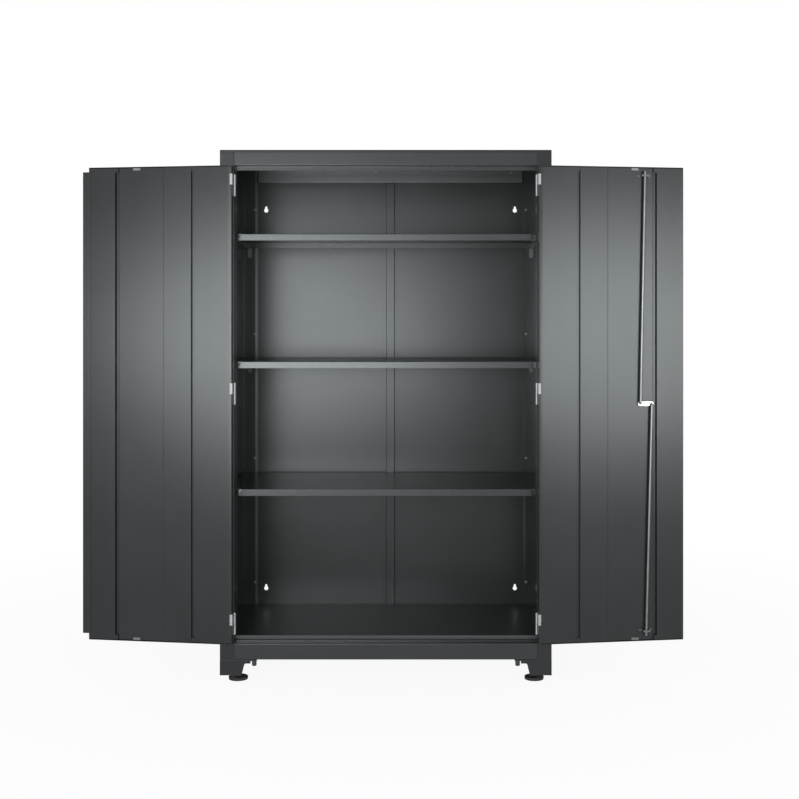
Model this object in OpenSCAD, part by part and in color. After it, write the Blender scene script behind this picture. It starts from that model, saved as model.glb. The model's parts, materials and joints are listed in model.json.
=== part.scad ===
// Heavy-duty storage cabinet: a welded sheet-steel body with two lift-off doors, three
// adjustable shelves, a two-rod lock and four bracket feet with screw-in levelers.
// Millimetres, +Z up, the front faces -Y. The doors stand where they rest, open past straight.

/* [Body] */
// Overall width over the side panels
cab_w = 1220; // [900:10:1500]
// Overall depth of the body
cab_d = 610; // [450:10:760]
// Overall height from the floor to the top
cab_h = 1960; // [1600:10:2200]
// Thickness of the body's sheet steel
sheet_t = 2.7; // [1.5:0.1:3.5]
// Thickness of the back sheets
back_t = 2; // [1:0.1:3]
// Width of the returns that hold the back sheets from behind
back_return_w = 20; // [10:1:30]

/* [Front frame] */
// Width of each front post's face
post_w = 53; // [40:1:70]
// Depth of each front post
post_d = 75; // [60:1:100]
// Height of the top rail's face, with the top's rim
top_rail_h = 58; // [40:1:90]
// Height of the top's turned-down rim
top_rim_h = 10; // [6:1:20]
// How far the door stop hangs below the top rail
head_stop_h = 15; // [8:1:25]
// Height of the base rail's lower edge over the floor
base_z = 86; // [60:1:130]
// Height of the base rail's face
base_rail_h = 60; // [40:1:90]
// How far the door stop stands over the base rail's ledge
sill_h = 23; // [20:1:35]
// Height of the floor panel's front flange, the upper part of that stop
floor_flange_h = 12; // [11:1:15]
// Height of the slit under that flange
sill_gap = 5; // [0.5:0.5:7]
// How far a second flange hangs under the floor, behind that slit
under_flange_h = 13; // [10:1:16]
// Gap between that flange and the lower rod's hole
under_flange_gap = 2; // [1:0.5:6]
// Height of the floor's surface under the top of the stop
floor_drop = 9; // [6:1:10]
// Depth of the flanges under the base rails
base_return_d = 45; // [30:1:60]

/* [Back frame] */
// Width of each rear post's slotted flange
rear_post_w = 65; // [60:1:75]
// How far that flange stands off the back sheets
rear_post_d = 8; // [4:0.5:10]
// Width of the slope from that flange to the back sheets
rear_post_slope = 10; // [6:1:14]
// Width of the edge beyond the slope, flat on the back sheets
rear_post_edge = 4; // [2:0.5:6]
// Depth of each rear post's leg along the side panel
rear_post_leg = 42; // [20:1:60]
// Height of the rear header
rear_header_h = 60; // [40:1:90]
// How far the rear header stands off the back sheets
rear_header_d = 15; // [8:1:25]
// Depth of the joggle half way up the rear header
header_joggle = 4; // [2:0.5:6]
// Width of the raised middle of the rib that covers the back sheets' joint
rib_w = 34; // [20:1:60]
// Width of the rib over its flanges
rib_flange_w = 58; // [50:1:90]
// How far the rib stands off the back sheets
rib_d = 15; // [8:1:25]
// Distance of the wall keyholes from the cabinet's sides
keyhole_inset = 95; // [90:1:300]
// Height of the lower keyholes
keyhole_low_z = 223; // [200:1:400]
// Distance of the upper keyholes under the cabinet's top
keyhole_drop = 172; // [130:1:400]
// Radius of each keyhole's entry
keyhole_r = 8.5; // [5:0.5:10]
// Width of each keyhole's neck
keyhole_neck_w = 8.5; // [5:0.5:9.5]
// How far each neck rises over the entry's middle
keyhole_neck_h = 13; // [10:0.5:20]

/* [Floor frame] */
// Distance of the floor beams from the cabinet's sides
beam_inset = 330; // [150:5:400]
// Width of each floor beam
beam_w = 60; // [40:1:90]
// Height of each floor beam
beam_h = 55; // [30:1:60]
// Depth of the rear base rail
rear_rail_d = 30; // [28:1:60]

/* [Shelf slots] */
// Height of the lowest slot in the posts
slot_first_z = 218; // [190:1:300]
// Distance from slot to slot
slot_pitch = 25; // [20:1:50]
// Room over the highest slot, under the top rail
slot_top_gap = 30; // [10:1:100]
// Width of a slot
slot_w = 14; // [8:1:20]
// Height of a slot
slot_h = 5; // [4:0.5:8]
// Distance of the slots from the side panels' outer faces
slot_inset = 28; // [24:1:30]

/* [Shelves] */
// Height of the low shelf's clips over the floor, to the nearest slot
shelf_low_rise = 508; // [300:1:600]
// Distance of the high shelf's clips under the top rail, to the nearest slot
shelf_high_drop = 284; // [200:1:500]
// Thickness of the shelves' sheet
shelf_t = 2; // [1.5:0.1:3]
// Height of the shelves' turned-down lips
shelf_lip = 25; // [15:1:40]
// Distance of the shelves' front edge behind the front frame
shelf_setback = 57; // [50:1:60]
// Gap between a shelf's front tongue and the posts
tongue_gap = 9; // [6:0.5:15]
// Gap between a shelf and the side panels
shelf_side_gap = 7.3; // [5:0.1:12]
// Gap between a shelf's body and the front clips' plates
shelf_front_gap = 2.3; // [1:0.1:5]
// Gap between a shelf and the rib behind it
shelf_rear_gap = 0.8; // [0.5:0.1:5]
// How far the shelves sit left of the middle, within their side play
shelf_shift = 4; // [0:0.5:4]
// Radius at the tongue's upper corners
tongue_r = 10; // [4:1:15]
// Gap between a shelf's lips and its clips
seat_gap = 0.2; // [0.1:0.1:0.4]
// How far a clip's ledge reaches past the shelf's lip
seat_lap = 0.9; // [0.5:0.1:4]
// Height of a clip's ledge over its slot
clip_rise = 12; // [6:1:20]
// Height of a clip
clip_h = 38; // [25:1:45]
// Width of a clip
clip_w = 16; // [12:1:20]
// Thickness of a clip
clip_t = 2; // [1.5:0.1:3]
// Depth of the curl at a clip's lower end
clip_curl = 6; // [4:0.5:8]
// Play of a clip's tab at each side of its slot
tab_side_play = 1; // [0.5:0.1:2]
// Play of a clip's tab over and under it
tab_play = 0.5; // [0.2:0.1:1]

/* [Doors] */
// How far each door stands open at rest
door_open_deg = 188.4; // [0:0.1:190]
// Thickness of each door
door_t = 25; // [22:1:30]
// Thickness of the doors' sheet
door_sheet_t = 2; // [1:0.1:2.5]
// Gap between a closed door and the stops behind it
stop_gap = 3; // [2:0.5:5]
// Gap over each door
door_top_gap = 3; // [2:0.5:6]
// Gap under each door
door_bottom_gap = 4; // [2:0.5:6]
// Gap between the closed doors
door_mid_gap = 11; // [4:0.5:14]
// Width of the return along each door's hinge edge
hinge_stile_w = 140; // [100:1:180]
// Width of the return along each door's lock edge
lock_stile_w = 102; // [80:1:110]
// Width of the grooves beside the stiffener
groove_w = 13; // [5:0.5:15]
// Depth of the grooves
groove_d = 11; // [6:0.5:18]
// How far the grooves' floors reach under the stiles
groove_lap = 5; // [2:1:10]
// Length of the tabs that close the grooves' ends
groove_tab = 16; // [8:1:30]
// Gap between those tabs and the stiffener
tab_gap = 0.5; // [0.3:0.1:2]
// Width of the stiffener's raised strip, next to the hinge stile
raised_strip_w = 104; // [40:1:120]
// Depth of the step beside the raised strip
strip_step = 3.5; // [0.5:0.5:5]
// Gap between the inner sheets and the top and bottom flanges
flange_gap = 2; // [1:0.5:4]
// Thickness of the left door's astragal
astragal_t = 2; // [1.5:0.1:3]
// Reach of the astragal past the left door's edge
astragal_reach = 22; // [16:1:30]
// Lap of the astragal on the left door's inner face
astragal_lap = 8; // [5:1:20]
// Offset of the astragal's reach behind the right door
astragal_joggle = 0.6; // [0.4:0.1:1]
// Gap between the astragal's ends and the door stops
astragal_end_gap = 5; // [3:0.5:12]
// Distance of the strike plates' edge from the lock, towards the hinges
strike_shift = 52; // [48:1:60]
// Width of each strike plate
strike_w = 27; // [15:1:30]
// Height of each strike plate
strike_h = 9; // [6:1:14]
// Thickness of each strike plate
strike_t = 1.5; // [1:0.1:2]

/* [Hinges] */
// Distance of the hinge axis in front of the closed doors
hinge_proud = 6; // [5.5:0.5:10]
// Gap between each door's edge and its post
hinge_gap = 5; // [4.5:0.1:7]
// Height of each hinge
hinge_h = 79; // [50:1:110]
// Distance from a door's ends to its outer hinges
hinge_end = 31; // [20:1:80]
// Radius of the hinge barrels
barrel_r = 4.75; // [4.3:0.05:5]
// Radius of the hinge pins
pin_r = 2.9; // [2:0.1:3]
// Running clearance round each pin
pin_clear = 0.05; // [0.02:0.01:0.1]
// Thickness of the hinge leaves
leaf_t = 2; // [1.5:0.1:2.2]
// Depth of the leaf on the post
post_leaf_d = 34; // [20:1:45]
// Width of the door leaf's wrap on the inner face
leaf_wrap = 6; // [6:1:20]
// How far that wrap reaches back past the door's edge leaf
leaf_lip = 2; // [0:0.1:2.2]
// Gap between the two halves of a hinge
hinge_seam = 0.4; // [0.2:0.1:1]
// Distance of a hinge pin's end below the top of its barrel
pin_drop = 5; // [1:0.5:10]
// Radius of the hinge screws' heads
hinge_screw_r = 2.6; // [2:0.1:3]
// Height of the hinge screws' heads
hinge_screw_h = 1.2; // [0.8:0.1:2]

/* [Lock] */
// Distance of the lock spindle from the door's free edge
lock_inset = 146; // [135:1:160]
// Height of the lock spindle
lock_z = 1026; // [800:1:1200]
// Radius at which the rods join the cam
cam_r = 21.5; // [15:0.5:24]
// Thickness of the cam
cam_t = 3; // [2:0.5:5]
// Gap between the cam and the door's inner sheet
cam_gap = 5; // [3:0.5:7]
// Radius of the cam's round ends
cam_end_r = 8; // [6:0.5:9]
// Thickness of the nut on the cam
cam_nut_t = 5; // [3:0.5:6]
// Radius of the rods
rod_r = 4.75; // [3:0.25:5]
// Length of a rod past its peg
rod_tail = 6; // [5:0.5:10]
// Chamfer at a rod's tip
rod_chamfer = 1.5; // [0.5:0.1:2]
// Radius of the pegs that join the rods to the cam
peg_r = 3; // [2:0.25:4]
// How far the pegs show past the cam
peg_tip = 1; // [0.5:0.1:2]
// Running clearance round the pegs and the spindle
lock_clear = 0.05; // [0.02:0.01:0.1]
// Distance of the rods' axes from the door's inner sheet
rod_stand = 15; // [14.5:0.5:17]
// Gap between the retracted rods and the door stops
rod_tip_gap = 3; // [2:0.5:6]
// Distance of the upper guide from the lock, towards the hinges
guide_top_shift = 5; // [0:1:18]
// Distance of the lower guide from the lock, towards the hinges
guide_low_shift = 0; // [0:1:12]
// Distance from each rod's tip to the middle of its guide
guide_back = 18; // [12:1:40]
// Room inside each guide, across the door
guide_room = 22; // [18:1:30]
// Width of the strap that makes each guide
guide_strap_w = 8; // [6:1:20]
// Thickness of that strap
guide_t = 2; // [1:0.1:3]
// Length of each guide's feet
guide_foot = 12; // [8:1:14]
// Room between a guide and the rod's inner side
guide_gap = 1.2; // [0.5:0.1:3]
// Room round the lower rod in the floor
rod_hole_gap = 0.85; // [0.5:0.05:2]
// Play of the lower rod in the floor, along the door
rod_hole_play = 6; // [4:0.5:10]
// Radius of the lock spindle
spindle_r = 8; // [7:0.5:9]
// Radius of the spindle's threaded end
spindle_end_r = 6; // [4:0.5:6.5]
// Length of that end past the cam
spindle_tail = 8; // [6:0.5:9]
// Depth of the spindle's seat in the handle's hub
spindle_seat = 11; // [8:0.5:12]
// Room round the spindle in the door's sheets
spindle_hole_gap = 2; // [1:0.5:4]
// Width of the lock housing
housing_w = 46; // [36:1:60]
// Height of the lock housing
housing_h = 130; // [80:1:160]
// Thickness of the lock housing
housing_t = 6; // [4:0.5:10]
// Radius of the lock housing's corners
housing_corner_r = 8; // [4:0.5:15]
// Gap between the handle's hub and the lock housing
hub_gap = 1; // [0.5:0.1:2]
// Radius of the handle's hub
hub_r = 17; // [14:0.5:22]
// Thickness of the handle's hub
hub_t = 22; // [20:1:30]
// Reach of the handle from its axis
handle_reach = 112; // [80:1:130]
// Width of the handle's grip
handle_w = 20; // [14:1:26]
// Thickness of the handle's grip
handle_t = 9; // [6:0.5:14]
// Radius of the key cylinder
key_r = 9; // [7:0.5:11]
// How far the key cylinder stands out of the hub
key_proud = 1.5; // [0.5:0.5:3]
// Wall between the key cylinder and the spindle
key_wall = 2; // [1:0.5:4]
// Width of the key slot
key_slot_w = 2; // [1.5:0.1:3]
// Height of the key slot
key_slot_h = 8; // [6:0.5:10]
// Depth of the key slot
key_slot_d = 6; // [3:0.5:8]

/* [Feet] */
// Height of the leg's foot plate over the floor
foot_z = 28; // [26:1:50]
// Width of each leg at the bottom
leg_w = 80; // [76:1:95]
// Width that each leg gains towards the top
leg_flare = 9; // [0:1:10]
// Length of the flange on each foot's arms
arm_len = 136; // [135:1:180]
// Length of the walls below that flange
arm_wall_len = 113; // [107:1:130]
// Height of each foot's arms
arm_h = 14; // [10:1:18]
// Thickness of the foot's plates
foot_t = 5; // [3:0.5:6]
// Step from the arms' faces back to the leg's
foot_step = 1.5; // [0.5:0.5:2.5]
// Width of the flange on top of the arms
arm_flange_w = 45; // [35:1:60]
// How far the foot plate stays inside the leg's free edges
plate_inset = 6; // [0:1:8]
// Radius between leg and arm
foot_fillet_r = 8; // [4:1:12]
// Distance of the foot bolts from the side panels' outer faces
foot_bolt_x = 124; // [112:1:125]
// Radius of the foot bolts' shanks
foot_bolt_r = 5; // [3:0.5:6]
// Radius of the foot bolts' flanges
bolt_flange_r = 10.5; // [8:0.5:14]
// Thickness of the foot bolts' flanges
bolt_flange_t = 3; // [2:0.5:4]
// Height of the foot bolts' heads, with the flange
bolt_head_h = 22; // [8:1:24]
// Length of the foot bolts past the base rails
bolt_tail = 8; // [3:1:15]
// Room round the foot bolts in their holes
bolt_gap = 0.3; // [0.1:0.1:1]

/* [Levelers] */
// Distance of the levelers from the body's outer faces
leveler_inset = 60; // [50:1:60]
// Radius of the leveler pads
pad_r = 36; // [20:1:40]
// Height of the leveler pads
pad_h = 11; // [11:1:25]
// Radius of the rounding round the pads
pad_rim = 2.5; // [1:0.5:5]
// Radius of the leveler stems
stem_r = 6; // [4:0.5:8]
// Height of the stems' tops over the floor
stem_top_z = 78; // [70:1:80]
// Chamfer at the stems' tops
stem_chamfer = 1; // [0.5:0.1:2]
// Room round the stems in the foot plates
stem_hole_gap = 0.5; // [0.3:0.1:2]
// Height of the leveler nuts
leveler_nut_h = 10; // [6:1:14]
// Running clearance round the stems
stem_clear = 0.1; // [0.05:0.05:0.1]

/* [Screws] */
// Distance of the back screws from the slopes of the rear posts
back_screw_inset = 2; // [0:0.5:3]
// Height of the lowest back screw
back_screw_low_z = 250; // [220:1:300]
// Distance of the highest back screw under the cabinet's top
back_screw_drop = 169.5; // [80:0.5:400]
// Number of back screws on each side
back_screw_rows = 4; // [2:1:8]
// Radius of the screw heads
screw_r = 5; // [3:0.5:5]
// Height of the screw heads
screw_h = 2.5; // [1.5:0.5:3]
// Distance of the inner header screws from the middle
header_screw_x = 62; // [40:1:200]
// Distance of the outer header screws from the header's ends
header_screw_inset = 43; // [10:1:200]
// Radius of a nut's corners over its thread's radius
nut_ratio = 1.75; // [1.6:0.05:2]
// Room between pieces that are pressed or screwed together
press_gap = 0.02; // [0.01:0.01:0.05]

/* [Hidden] */
$fn = 48;
LEFT = -1;
RIGHT = 1;
FRONT = -1;
REAR = 1;
paint = [0.17, 0.175, 0.175];
paint_dark = [0.12, 0.125, 0.125];
zinc = [0.78, 0.79, 0.8];
chrome = [0.85, 0.86, 0.87];
black = [0.06, 0.06, 0.06];

hw = cab_w / 2;
skin_x = hw - sheet_t;
open_hw = hw - post_w;
rim_z = cab_h - top_rim_h;
top_under_z = cab_h - sheet_t;
head_z = cab_h - top_rail_h;
head_stop_z = head_z - head_stop_h;
ledge_z = base_z + base_rail_h;
sill_z = ledge_z + sill_h;
floor_z = sill_z - floor_drop;
floor_under_z = floor_z - sheet_t;
stop_y = door_t + stop_gap;
stop_back_y = stop_y + sheet_t;
post_back_y = post_d + sheet_t;
return_y = cab_d - sheet_t;
back_y = return_y - back_t;
rear_face_y = back_y - rear_post_d;
slot_x = hw - slot_inset;
slot_count = floor((head_z - slot_top_gap - slot_first_z) / slot_pitch) + 1;
shelf_low_slot = round((floor_z + shelf_low_rise - slot_first_z) / slot_pitch);
shelf_high_slot = round((head_z - shelf_high_drop - slot_first_z) / slot_pitch);
keyhole_x = hw - keyhole_inset;
keyhole_top_z = cab_h - keyhole_drop;
beam_x = hw - beam_inset;
eps = 1;

shelf_hw = skin_x - shelf_side_gap;
tongue_hw = open_hw - tongue_gap;
shelf_body_y = post_back_y + clip_t + shelf_front_gap;
shelf_back_y = back_y - max(rib_d, rear_post_d + clip_t) - shelf_rear_gap;
clip_reach = rear_face_y - shelf_back_y + shelf_t + seat_lap;

hinge_x = open_hw - hinge_gap / 2;
edge_u = hinge_gap / 2;
free_u = hinge_x - door_mid_gap / 2;
outer_v = hinge_proud;
inner_v = hinge_proud + door_t;
door_z0 = ledge_z + door_bottom_gap;
door_z1 = head_z - door_top_gap;
sheet_z0 = door_z0 + door_sheet_t + flange_gap;
sheet_z1 = door_z1 - door_sheet_t - flange_gap;
stiff_u0 = edge_u + hinge_stile_w + groove_w;
stiff_u1 = free_u - lock_stile_w - groove_w;
step_u = stiff_u0 + raised_strip_w;
low_v = inner_v - strip_step;
half_hinge = (hinge_h - hinge_seam) / 2;
hinge_zs = [door_z0 + hinge_end, (door_z0 + door_z1) / 2, door_z1 - hinge_end - hinge_h];

lock_u = free_u - lock_inset;
strike_u = lock_u - strike_shift;
guide_top_u = lock_u - guide_top_shift;
guide_low_u = lock_u - guide_low_shift;
hub_v = outer_v - housing_t - hub_gap;
rod_v = low_v + rod_stand;
under_y = rod_v - hinge_proud + rod_r + rod_hole_gap + under_flange_gap;
cam_v = low_v + cam_gap;
upper_pin_u = lock_u - cam_r;
lower_pin_u = lock_u + cam_r;
upper_tip_z = head_stop_z - rod_tip_gap;
lower_tip_z = sill_z + rod_tip_gap;
guide_top_z = upper_tip_z - guide_back;
guide_low_z = lower_tip_z + guide_back;
upper_tilt = atan((guide_top_u - upper_pin_u) / (guide_top_z - lock_z));
lower_tilt = atan((lower_pin_u - guide_low_u) / (lock_z - guide_low_z));

// The resting box, doors open, whose bottom centre is the model's origin
rest_cos = -cos(door_open_deg);
rest_sin = -sin(door_open_deg);
left_reach = hinge_x + (free_u + astragal_reach) * rest_cos + inner_v * rest_sin;
right_reach = hinge_x + free_u * rest_cos + inner_v * rest_sin;
front_reach = hinge_proud + (inner_v + leaf_t) * rest_cos;
mid_x = door_open_deg > 180 ? (right_reach - left_reach) / 2 : 0;
mid_y = (cab_d - (door_open_deg > 180 ? front_reach : 0)) / 2;

// Moves the cabinet, drawn about its own front plane and middle, onto the origin
module framed() {
    translate([-mid_x, -mid_y, 0]) children();
}

// A block from its lowest to its highest corner
module block(low, high) {
    translate(low) cube(high - low);
}

// Draws a left-hand piece on the named side
module on_side(side) {
    if (side == RIGHT) mirror([1, 0, 0]) children();
    else children();
}

// Draws a piece about a corner of the base, X and Y running inwards
module on_corner(side, end) {
    on_side(side) translate([-hw, end == REAR ? cab_d : 0, 0])
        mirror([0, end == REAR ? 1 : 0, 0]) children();
}

// A door's own frame: X along the closed door from the hinge axis, Y inwards
module at_hinge(side) {
    on_side(side) translate([-hinge_x, -hinge_proud, 0]) children();
}

// The same frame with the door where it rests
module on_door(side) {
    at_hinge(side) rotate([0, 0, -door_open_deg]) children();
}

// A round bar along Y
module bar_y(r, length, sides = $fn) {
    rotate([-90, 0, 0]) cylinder(r = r, h = length, $fn = sides);
}

// A low domed screw head along -Y, its seat at the origin
module screw_head(r, h) {
    rotate([90, 0, 0]) {
        cylinder(r = r, h = h * 0.6);
        translate([0, 0, h * 0.6]) cylinder(r1 = r, r2 = r * 0.6, h = h * 0.4);
    }
}

// Side panel: one sheet folded round the front post and back onto the back sheets
module side_panel(side) {
    t = sheet_t;
    color(paint) on_side(side) translate([0, 0, base_z])
        linear_extrude(rim_z - base_z) polygon([
            [-hw, 0], [-open_hw, 0], [-open_hw, post_d], [-open_hw - t, post_d],
            [-open_hw - t, t], [-skin_x, t], [-skin_x, return_y],
            [-hw + back_return_w, return_y], [-hw + back_return_w, cab_d], [-hw, cab_d]
        ]);
}

// The column of shelf slots, cut through a flange that starts at y
module slots(y) {
    for (i = [0 : slot_count - 1])
        translate([-slot_x - slot_w / 2, y - eps, slot_first_z + i * slot_pitch - slot_h / 2])
            cube([slot_w, sheet_t + 2 * eps, slot_h]);
}

// Slotted plate that closes a front post from behind
module post_channel(side) {
    color(paint) on_side(side) difference() {
        block([-skin_x, post_d, base_z], [-open_hw, post_back_y, top_under_z]);
        slots(post_d);
    }
}

// Slotted angle in a rear corner, its flange sloped back onto the back sheets
module rear_post(side) {
    t = sheet_t;
    x = -hw + rear_post_w;
    y = rear_face_y;
    foot_x = x - rear_post_edge;
    slope_x = foot_x - rear_post_slope;
    color(paint) on_side(side) difference() {
        translate([0, 0, floor_z]) linear_extrude(top_under_z - floor_z) polygon([
            [-skin_x, y - rear_post_leg], [-skin_x + t, y - rear_post_leg], [-skin_x + t, y],
            [slope_x, y], [foot_x, back_y - t], [x, back_y - t], [x, back_y],
            [foot_x, back_y], [slope_x, y + t], [-skin_x, y + t]
        ]);
        slots(y);
    }
}

// Top: a flat sheet with a rim turned down all round
module top_panel() {
    t = sheet_t;
    color(paint) difference() {
        block([-hw, 0, rim_z], [hw, cab_d, cab_h]);
        block([-hw + t, t, rim_z - eps], [hw - t, cab_d - t, top_under_z]);
    }
}

// Front top rail: face, ledge and the door stop behind it
module top_rail() {
    color(paint) {
        block([-open_hw, 0, head_z], [open_hw, sheet_t, rim_z]);
        block([-open_hw, 0, head_z], [open_hw, stop_back_y, head_z + sheet_t]);
        block([-open_hw, stop_y, head_stop_z], [open_hw, stop_back_y, head_z + sheet_t]);
    }
}

// Rear header under the top, with a joggle along its middle
module rear_header() {
    t = sheet_t;
    x = hw - rear_post_w;
    y = back_y - rear_header_d;
    low_z = cab_h - rear_header_h;
    mid_z = (low_z + cab_h) / 2;
    color(paint) {
        block([-x, y, low_z], [x, y + t, mid_z]);
        block([-x, y, low_z], [x, back_y, low_z + t]);
        block([-x, y, mid_z - t], [x, y + header_joggle + t, mid_z]);
        block([-x, y + header_joggle, mid_z - t], [x, y + header_joggle + t, top_under_z]);
        block([-x, y + header_joggle, top_under_z - t], [x, back_y, top_under_z]);
    }
}

// One wall keyhole, cut along Y about its entry's middle
module keyhole() {
    depth = back_t + 2 * eps;
    translate([0, back_y - eps, 0]) {
        bar_y(keyhole_r, depth);
        translate([-keyhole_neck_w / 2, 0, 0]) cube([keyhole_neck_w, depth, keyhole_neck_h]);
        translate([0, 0, keyhole_neck_h]) bar_y(keyhole_neck_w / 2, depth);
    }
}

// Half of the back, with its two keyholes
module back_panel(side) {
    color(paint) on_side(side) difference() {
        block([-skin_x, back_y, base_z], [0, return_y, top_under_z]);
        for (z = [keyhole_low_z, keyhole_top_z])
            translate([-keyhole_x, 0, z]) keyhole();
    }
}

// Hat-shaped rib that covers the joint of the back sheets
module back_rib() {
    t = back_t;
    y = back_y - rib_d;
    color(paint) translate([0, 0, floor_z])
        linear_extrude(cab_h - rear_header_h - floor_z) polygon([
            [-rib_flange_w / 2, back_y], [-rib_flange_w / 2, back_y - t],
            [-rib_w / 2, back_y - t], [-rib_w / 2, y], [rib_w / 2, y],
            [rib_w / 2, back_y - t], [rib_flange_w / 2, back_y - t],
            [rib_flange_w / 2, back_y], [rib_w / 2 - t, back_y],
            [rib_w / 2 - t, y + t], [-rib_w / 2 + t, y + t], [-rib_w / 2 + t, back_y]
        ]);
}

// Floor with its front flange and a second one behind the slit, notched round the posts,
// with a hole for the lower rod
module floor_panel() {
    lock_x = hinge_x - guide_low_u;
    rod_y = rod_v - hinge_proud;
    hole_r = min(rod_r + rod_hole_gap, rod_y - stop_back_y);
    play = rod_hole_play;
    color(paint) difference() {
        union() {
            block([-open_hw, stop_y, floor_under_z], [open_hw, post_back_y, floor_z]);
            block([-skin_x, post_back_y, floor_under_z], [skin_x, back_y, floor_z]);
            block([-open_hw, stop_y, sill_z - floor_flange_h], [open_hw, stop_back_y, sill_z]);
            block([-open_hw, under_y, floor_under_z - under_flange_h],
                  [open_hw, under_y + sheet_t, floor_z]);
        }
        translate([lock_x, rod_y, floor_under_z - eps]) {
            for (s = [-1, 1])
                translate([s * play, 0, 0]) cylinder(r = hole_r, h = sheet_t + 2 * eps);
            translate([-play, -hole_r, 0]) cube([2 * play, 2 * hole_r, sheet_t + 2 * eps]);
        }
    }
}

// Front base rail: bottom flange, face, ledge and the lower part of the door stop
module base_rail_front() {
    t = sheet_t;
    color(paint) difference() {
        union() {
            block([-open_hw, 0, base_z], [open_hw, t, ledge_z]);
            block([-open_hw, 0, ledge_z - t], [open_hw, stop_back_y, ledge_z]);
            block([-open_hw, stop_y, ledge_z - t],
                  [open_hw, stop_back_y, sill_z - floor_flange_h - sill_gap]);
            block([-open_hw, 0, base_z], [open_hw, base_return_d, base_z + t]);
        }
        for (s = [LEFT, RIGHT])
            translate([s * (hw - foot_bolt_x), arm_flange_w / 2, base_z - eps])
                cylinder(r = foot_bolt_r + bolt_gap, h = t + 2 * eps);
    }
}

// Rear base rail, a channel that opens to the back sheets
module base_rail_rear() {
    t = sheet_t;
    y = back_y - rear_rail_d;
    color(paint) difference() {
        union() {
            block([-skin_x, y, base_z], [skin_x, y + t, floor_under_z]);
            block([-skin_x, y, base_z], [skin_x, back_y, base_z + t]);
            block([-skin_x, y, floor_under_z - t], [skin_x, back_y, floor_under_z]);
        }
        for (s = [LEFT, RIGHT])
            translate([s * (hw - foot_bolt_x), cab_d - arm_flange_w / 2, base_z - eps])
                cylinder(r = foot_bolt_r + bolt_gap, h = t + 2 * eps);
    }
}

// Two channels that carry the floor from front to back
module floor_beams() {
    t = sheet_t;
    y0 = under_y + sheet_t;
    y1 = back_y - rear_rail_d;
    color(paint_dark) for (x = [-beam_x, beam_x]) translate([x, 0, 0]) {
        block([-beam_w / 2, y0, floor_under_z - t], [beam_w / 2, y1, floor_under_z]);
        for (s = [-1, 1])
            translate([s * (beam_w - t) / 2, 0, 0])
                block([-t / 2, y0, floor_under_z - beam_h], [t / 2, y1, floor_under_z]);
    }
}

// Outline of one face of a foot: arm on top, leg below, a fillet between them
module foot_outline(low_z, high_z, arm) {
    arm_z = base_z - arm_h;
    flare_x = leg_w + leg_flare;
    intersection() {
        difference() {
            polygon([
                [0, foot_z], [leg_w, foot_z], [flare_x, arm_z - foot_fillet_r],
                [flare_x + foot_fillet_r, arm_z], [arm, arm_z], [arm, base_z], [0, base_z]
            ]);
            translate([flare_x + foot_fillet_r, arm_z - foot_fillet_r])
                circle(r = foot_fillet_r);
        }
        translate([0, low_z]) square([arm, high_z - low_z]);
    }
}

// One wall of a foot along X: the arm's band stands proud of the leg below it
module foot_wall() {
    arm_z = base_z - arm_h;
    rotate([90, 0, 0]) translate([0, 0, -foot_t]) {
        linear_extrude(foot_t) foot_outline(arm_z, base_z, arm_wall_len);
        linear_extrude(foot_t - foot_step) foot_outline(foot_z, base_z, arm_wall_len);
    }
}

// Bracket foot: two walls, a flange under the base and a plate for the leveler
module foot(side, end) {
    color(paint) on_corner(side, end) difference() {
        union() {
            foot_wall();
            mirror([1, -1, 0]) foot_wall();
            block([0, 0, base_z - foot_t], [arm_len, arm_flange_w, base_z]);
            block([0, 0, base_z - foot_t], [arm_flange_w, arm_len, base_z]);
            block([foot_step, foot_step, foot_z],
                  [leg_w - plate_inset, leg_w - plate_inset, foot_z + foot_t]);
        }
        translate([leveler_inset, leveler_inset, foot_z - eps])
            cylinder(r = stem_r + stem_hole_gap, h = foot_t + 2 * eps);
        translate([foot_bolt_x, arm_flange_w / 2, base_z - foot_t - eps])
            cylinder(r = foot_bolt_r + bolt_gap, h = foot_t + 2 * eps);
    }
}

// Flanged bolts that hold the feet to the base rails
module foot_bolts() {
    seat_z = base_z - foot_t;
    color(black) for (side = [LEFT, RIGHT], end = [FRONT, REAR])
        on_corner(side, end) translate([foot_bolt_x, arm_flange_w / 2, seat_z]) {
            translate([0, 0, -bolt_flange_t]) cylinder(r = bolt_flange_r, h = bolt_flange_t);
            translate([0, 0, -bolt_head_h])
                cylinder(r = foot_bolt_r * nut_ratio, h = bolt_head_h, $fn = 6);
            cylinder(r = foot_bolt_r, h = foot_t + sheet_t + bolt_tail);
        }
}

// Nuts welded on the foot plates, in which the levelers turn
module leveler_nuts() {
    h = leveler_nut_h;
    color(zinc) for (side = [LEFT, RIGHT], end = [FRONT, REAR])
        on_corner(side, end) translate([leveler_inset, leveler_inset, foot_z + foot_t])
            difference() {
                cylinder(r = stem_r * nut_ratio, h = h, $fn = 6);
                translate([0, 0, -eps]) cylinder(r = stem_r + stem_clear, h = h + 2 * eps);
            }
}

// Leveler: a round pad under a screwed stem
module leveler(side, end) {
    rim = pad_rim;
    color(black) on_corner(side, end) translate([leveler_inset, leveler_inset, 0]) {
        rotate_extrude() polygon(concat(
            [[0, 0], [pad_r - rim, 0]],
            [for (a = [-75 : 15 : 0]) [pad_r - rim + rim * cos(a), rim + rim * sin(a)]],
            [for (a = [0 : 15 : 90]) [pad_r - rim + rim * cos(a), pad_h - rim + rim * sin(a)]],
            [[stem_r, pad_h], [stem_r, stem_top_z - stem_chamfer],
             [stem_r - stem_chamfer, stem_top_z], [0, stem_top_z]]
        ));
    }
}

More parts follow.
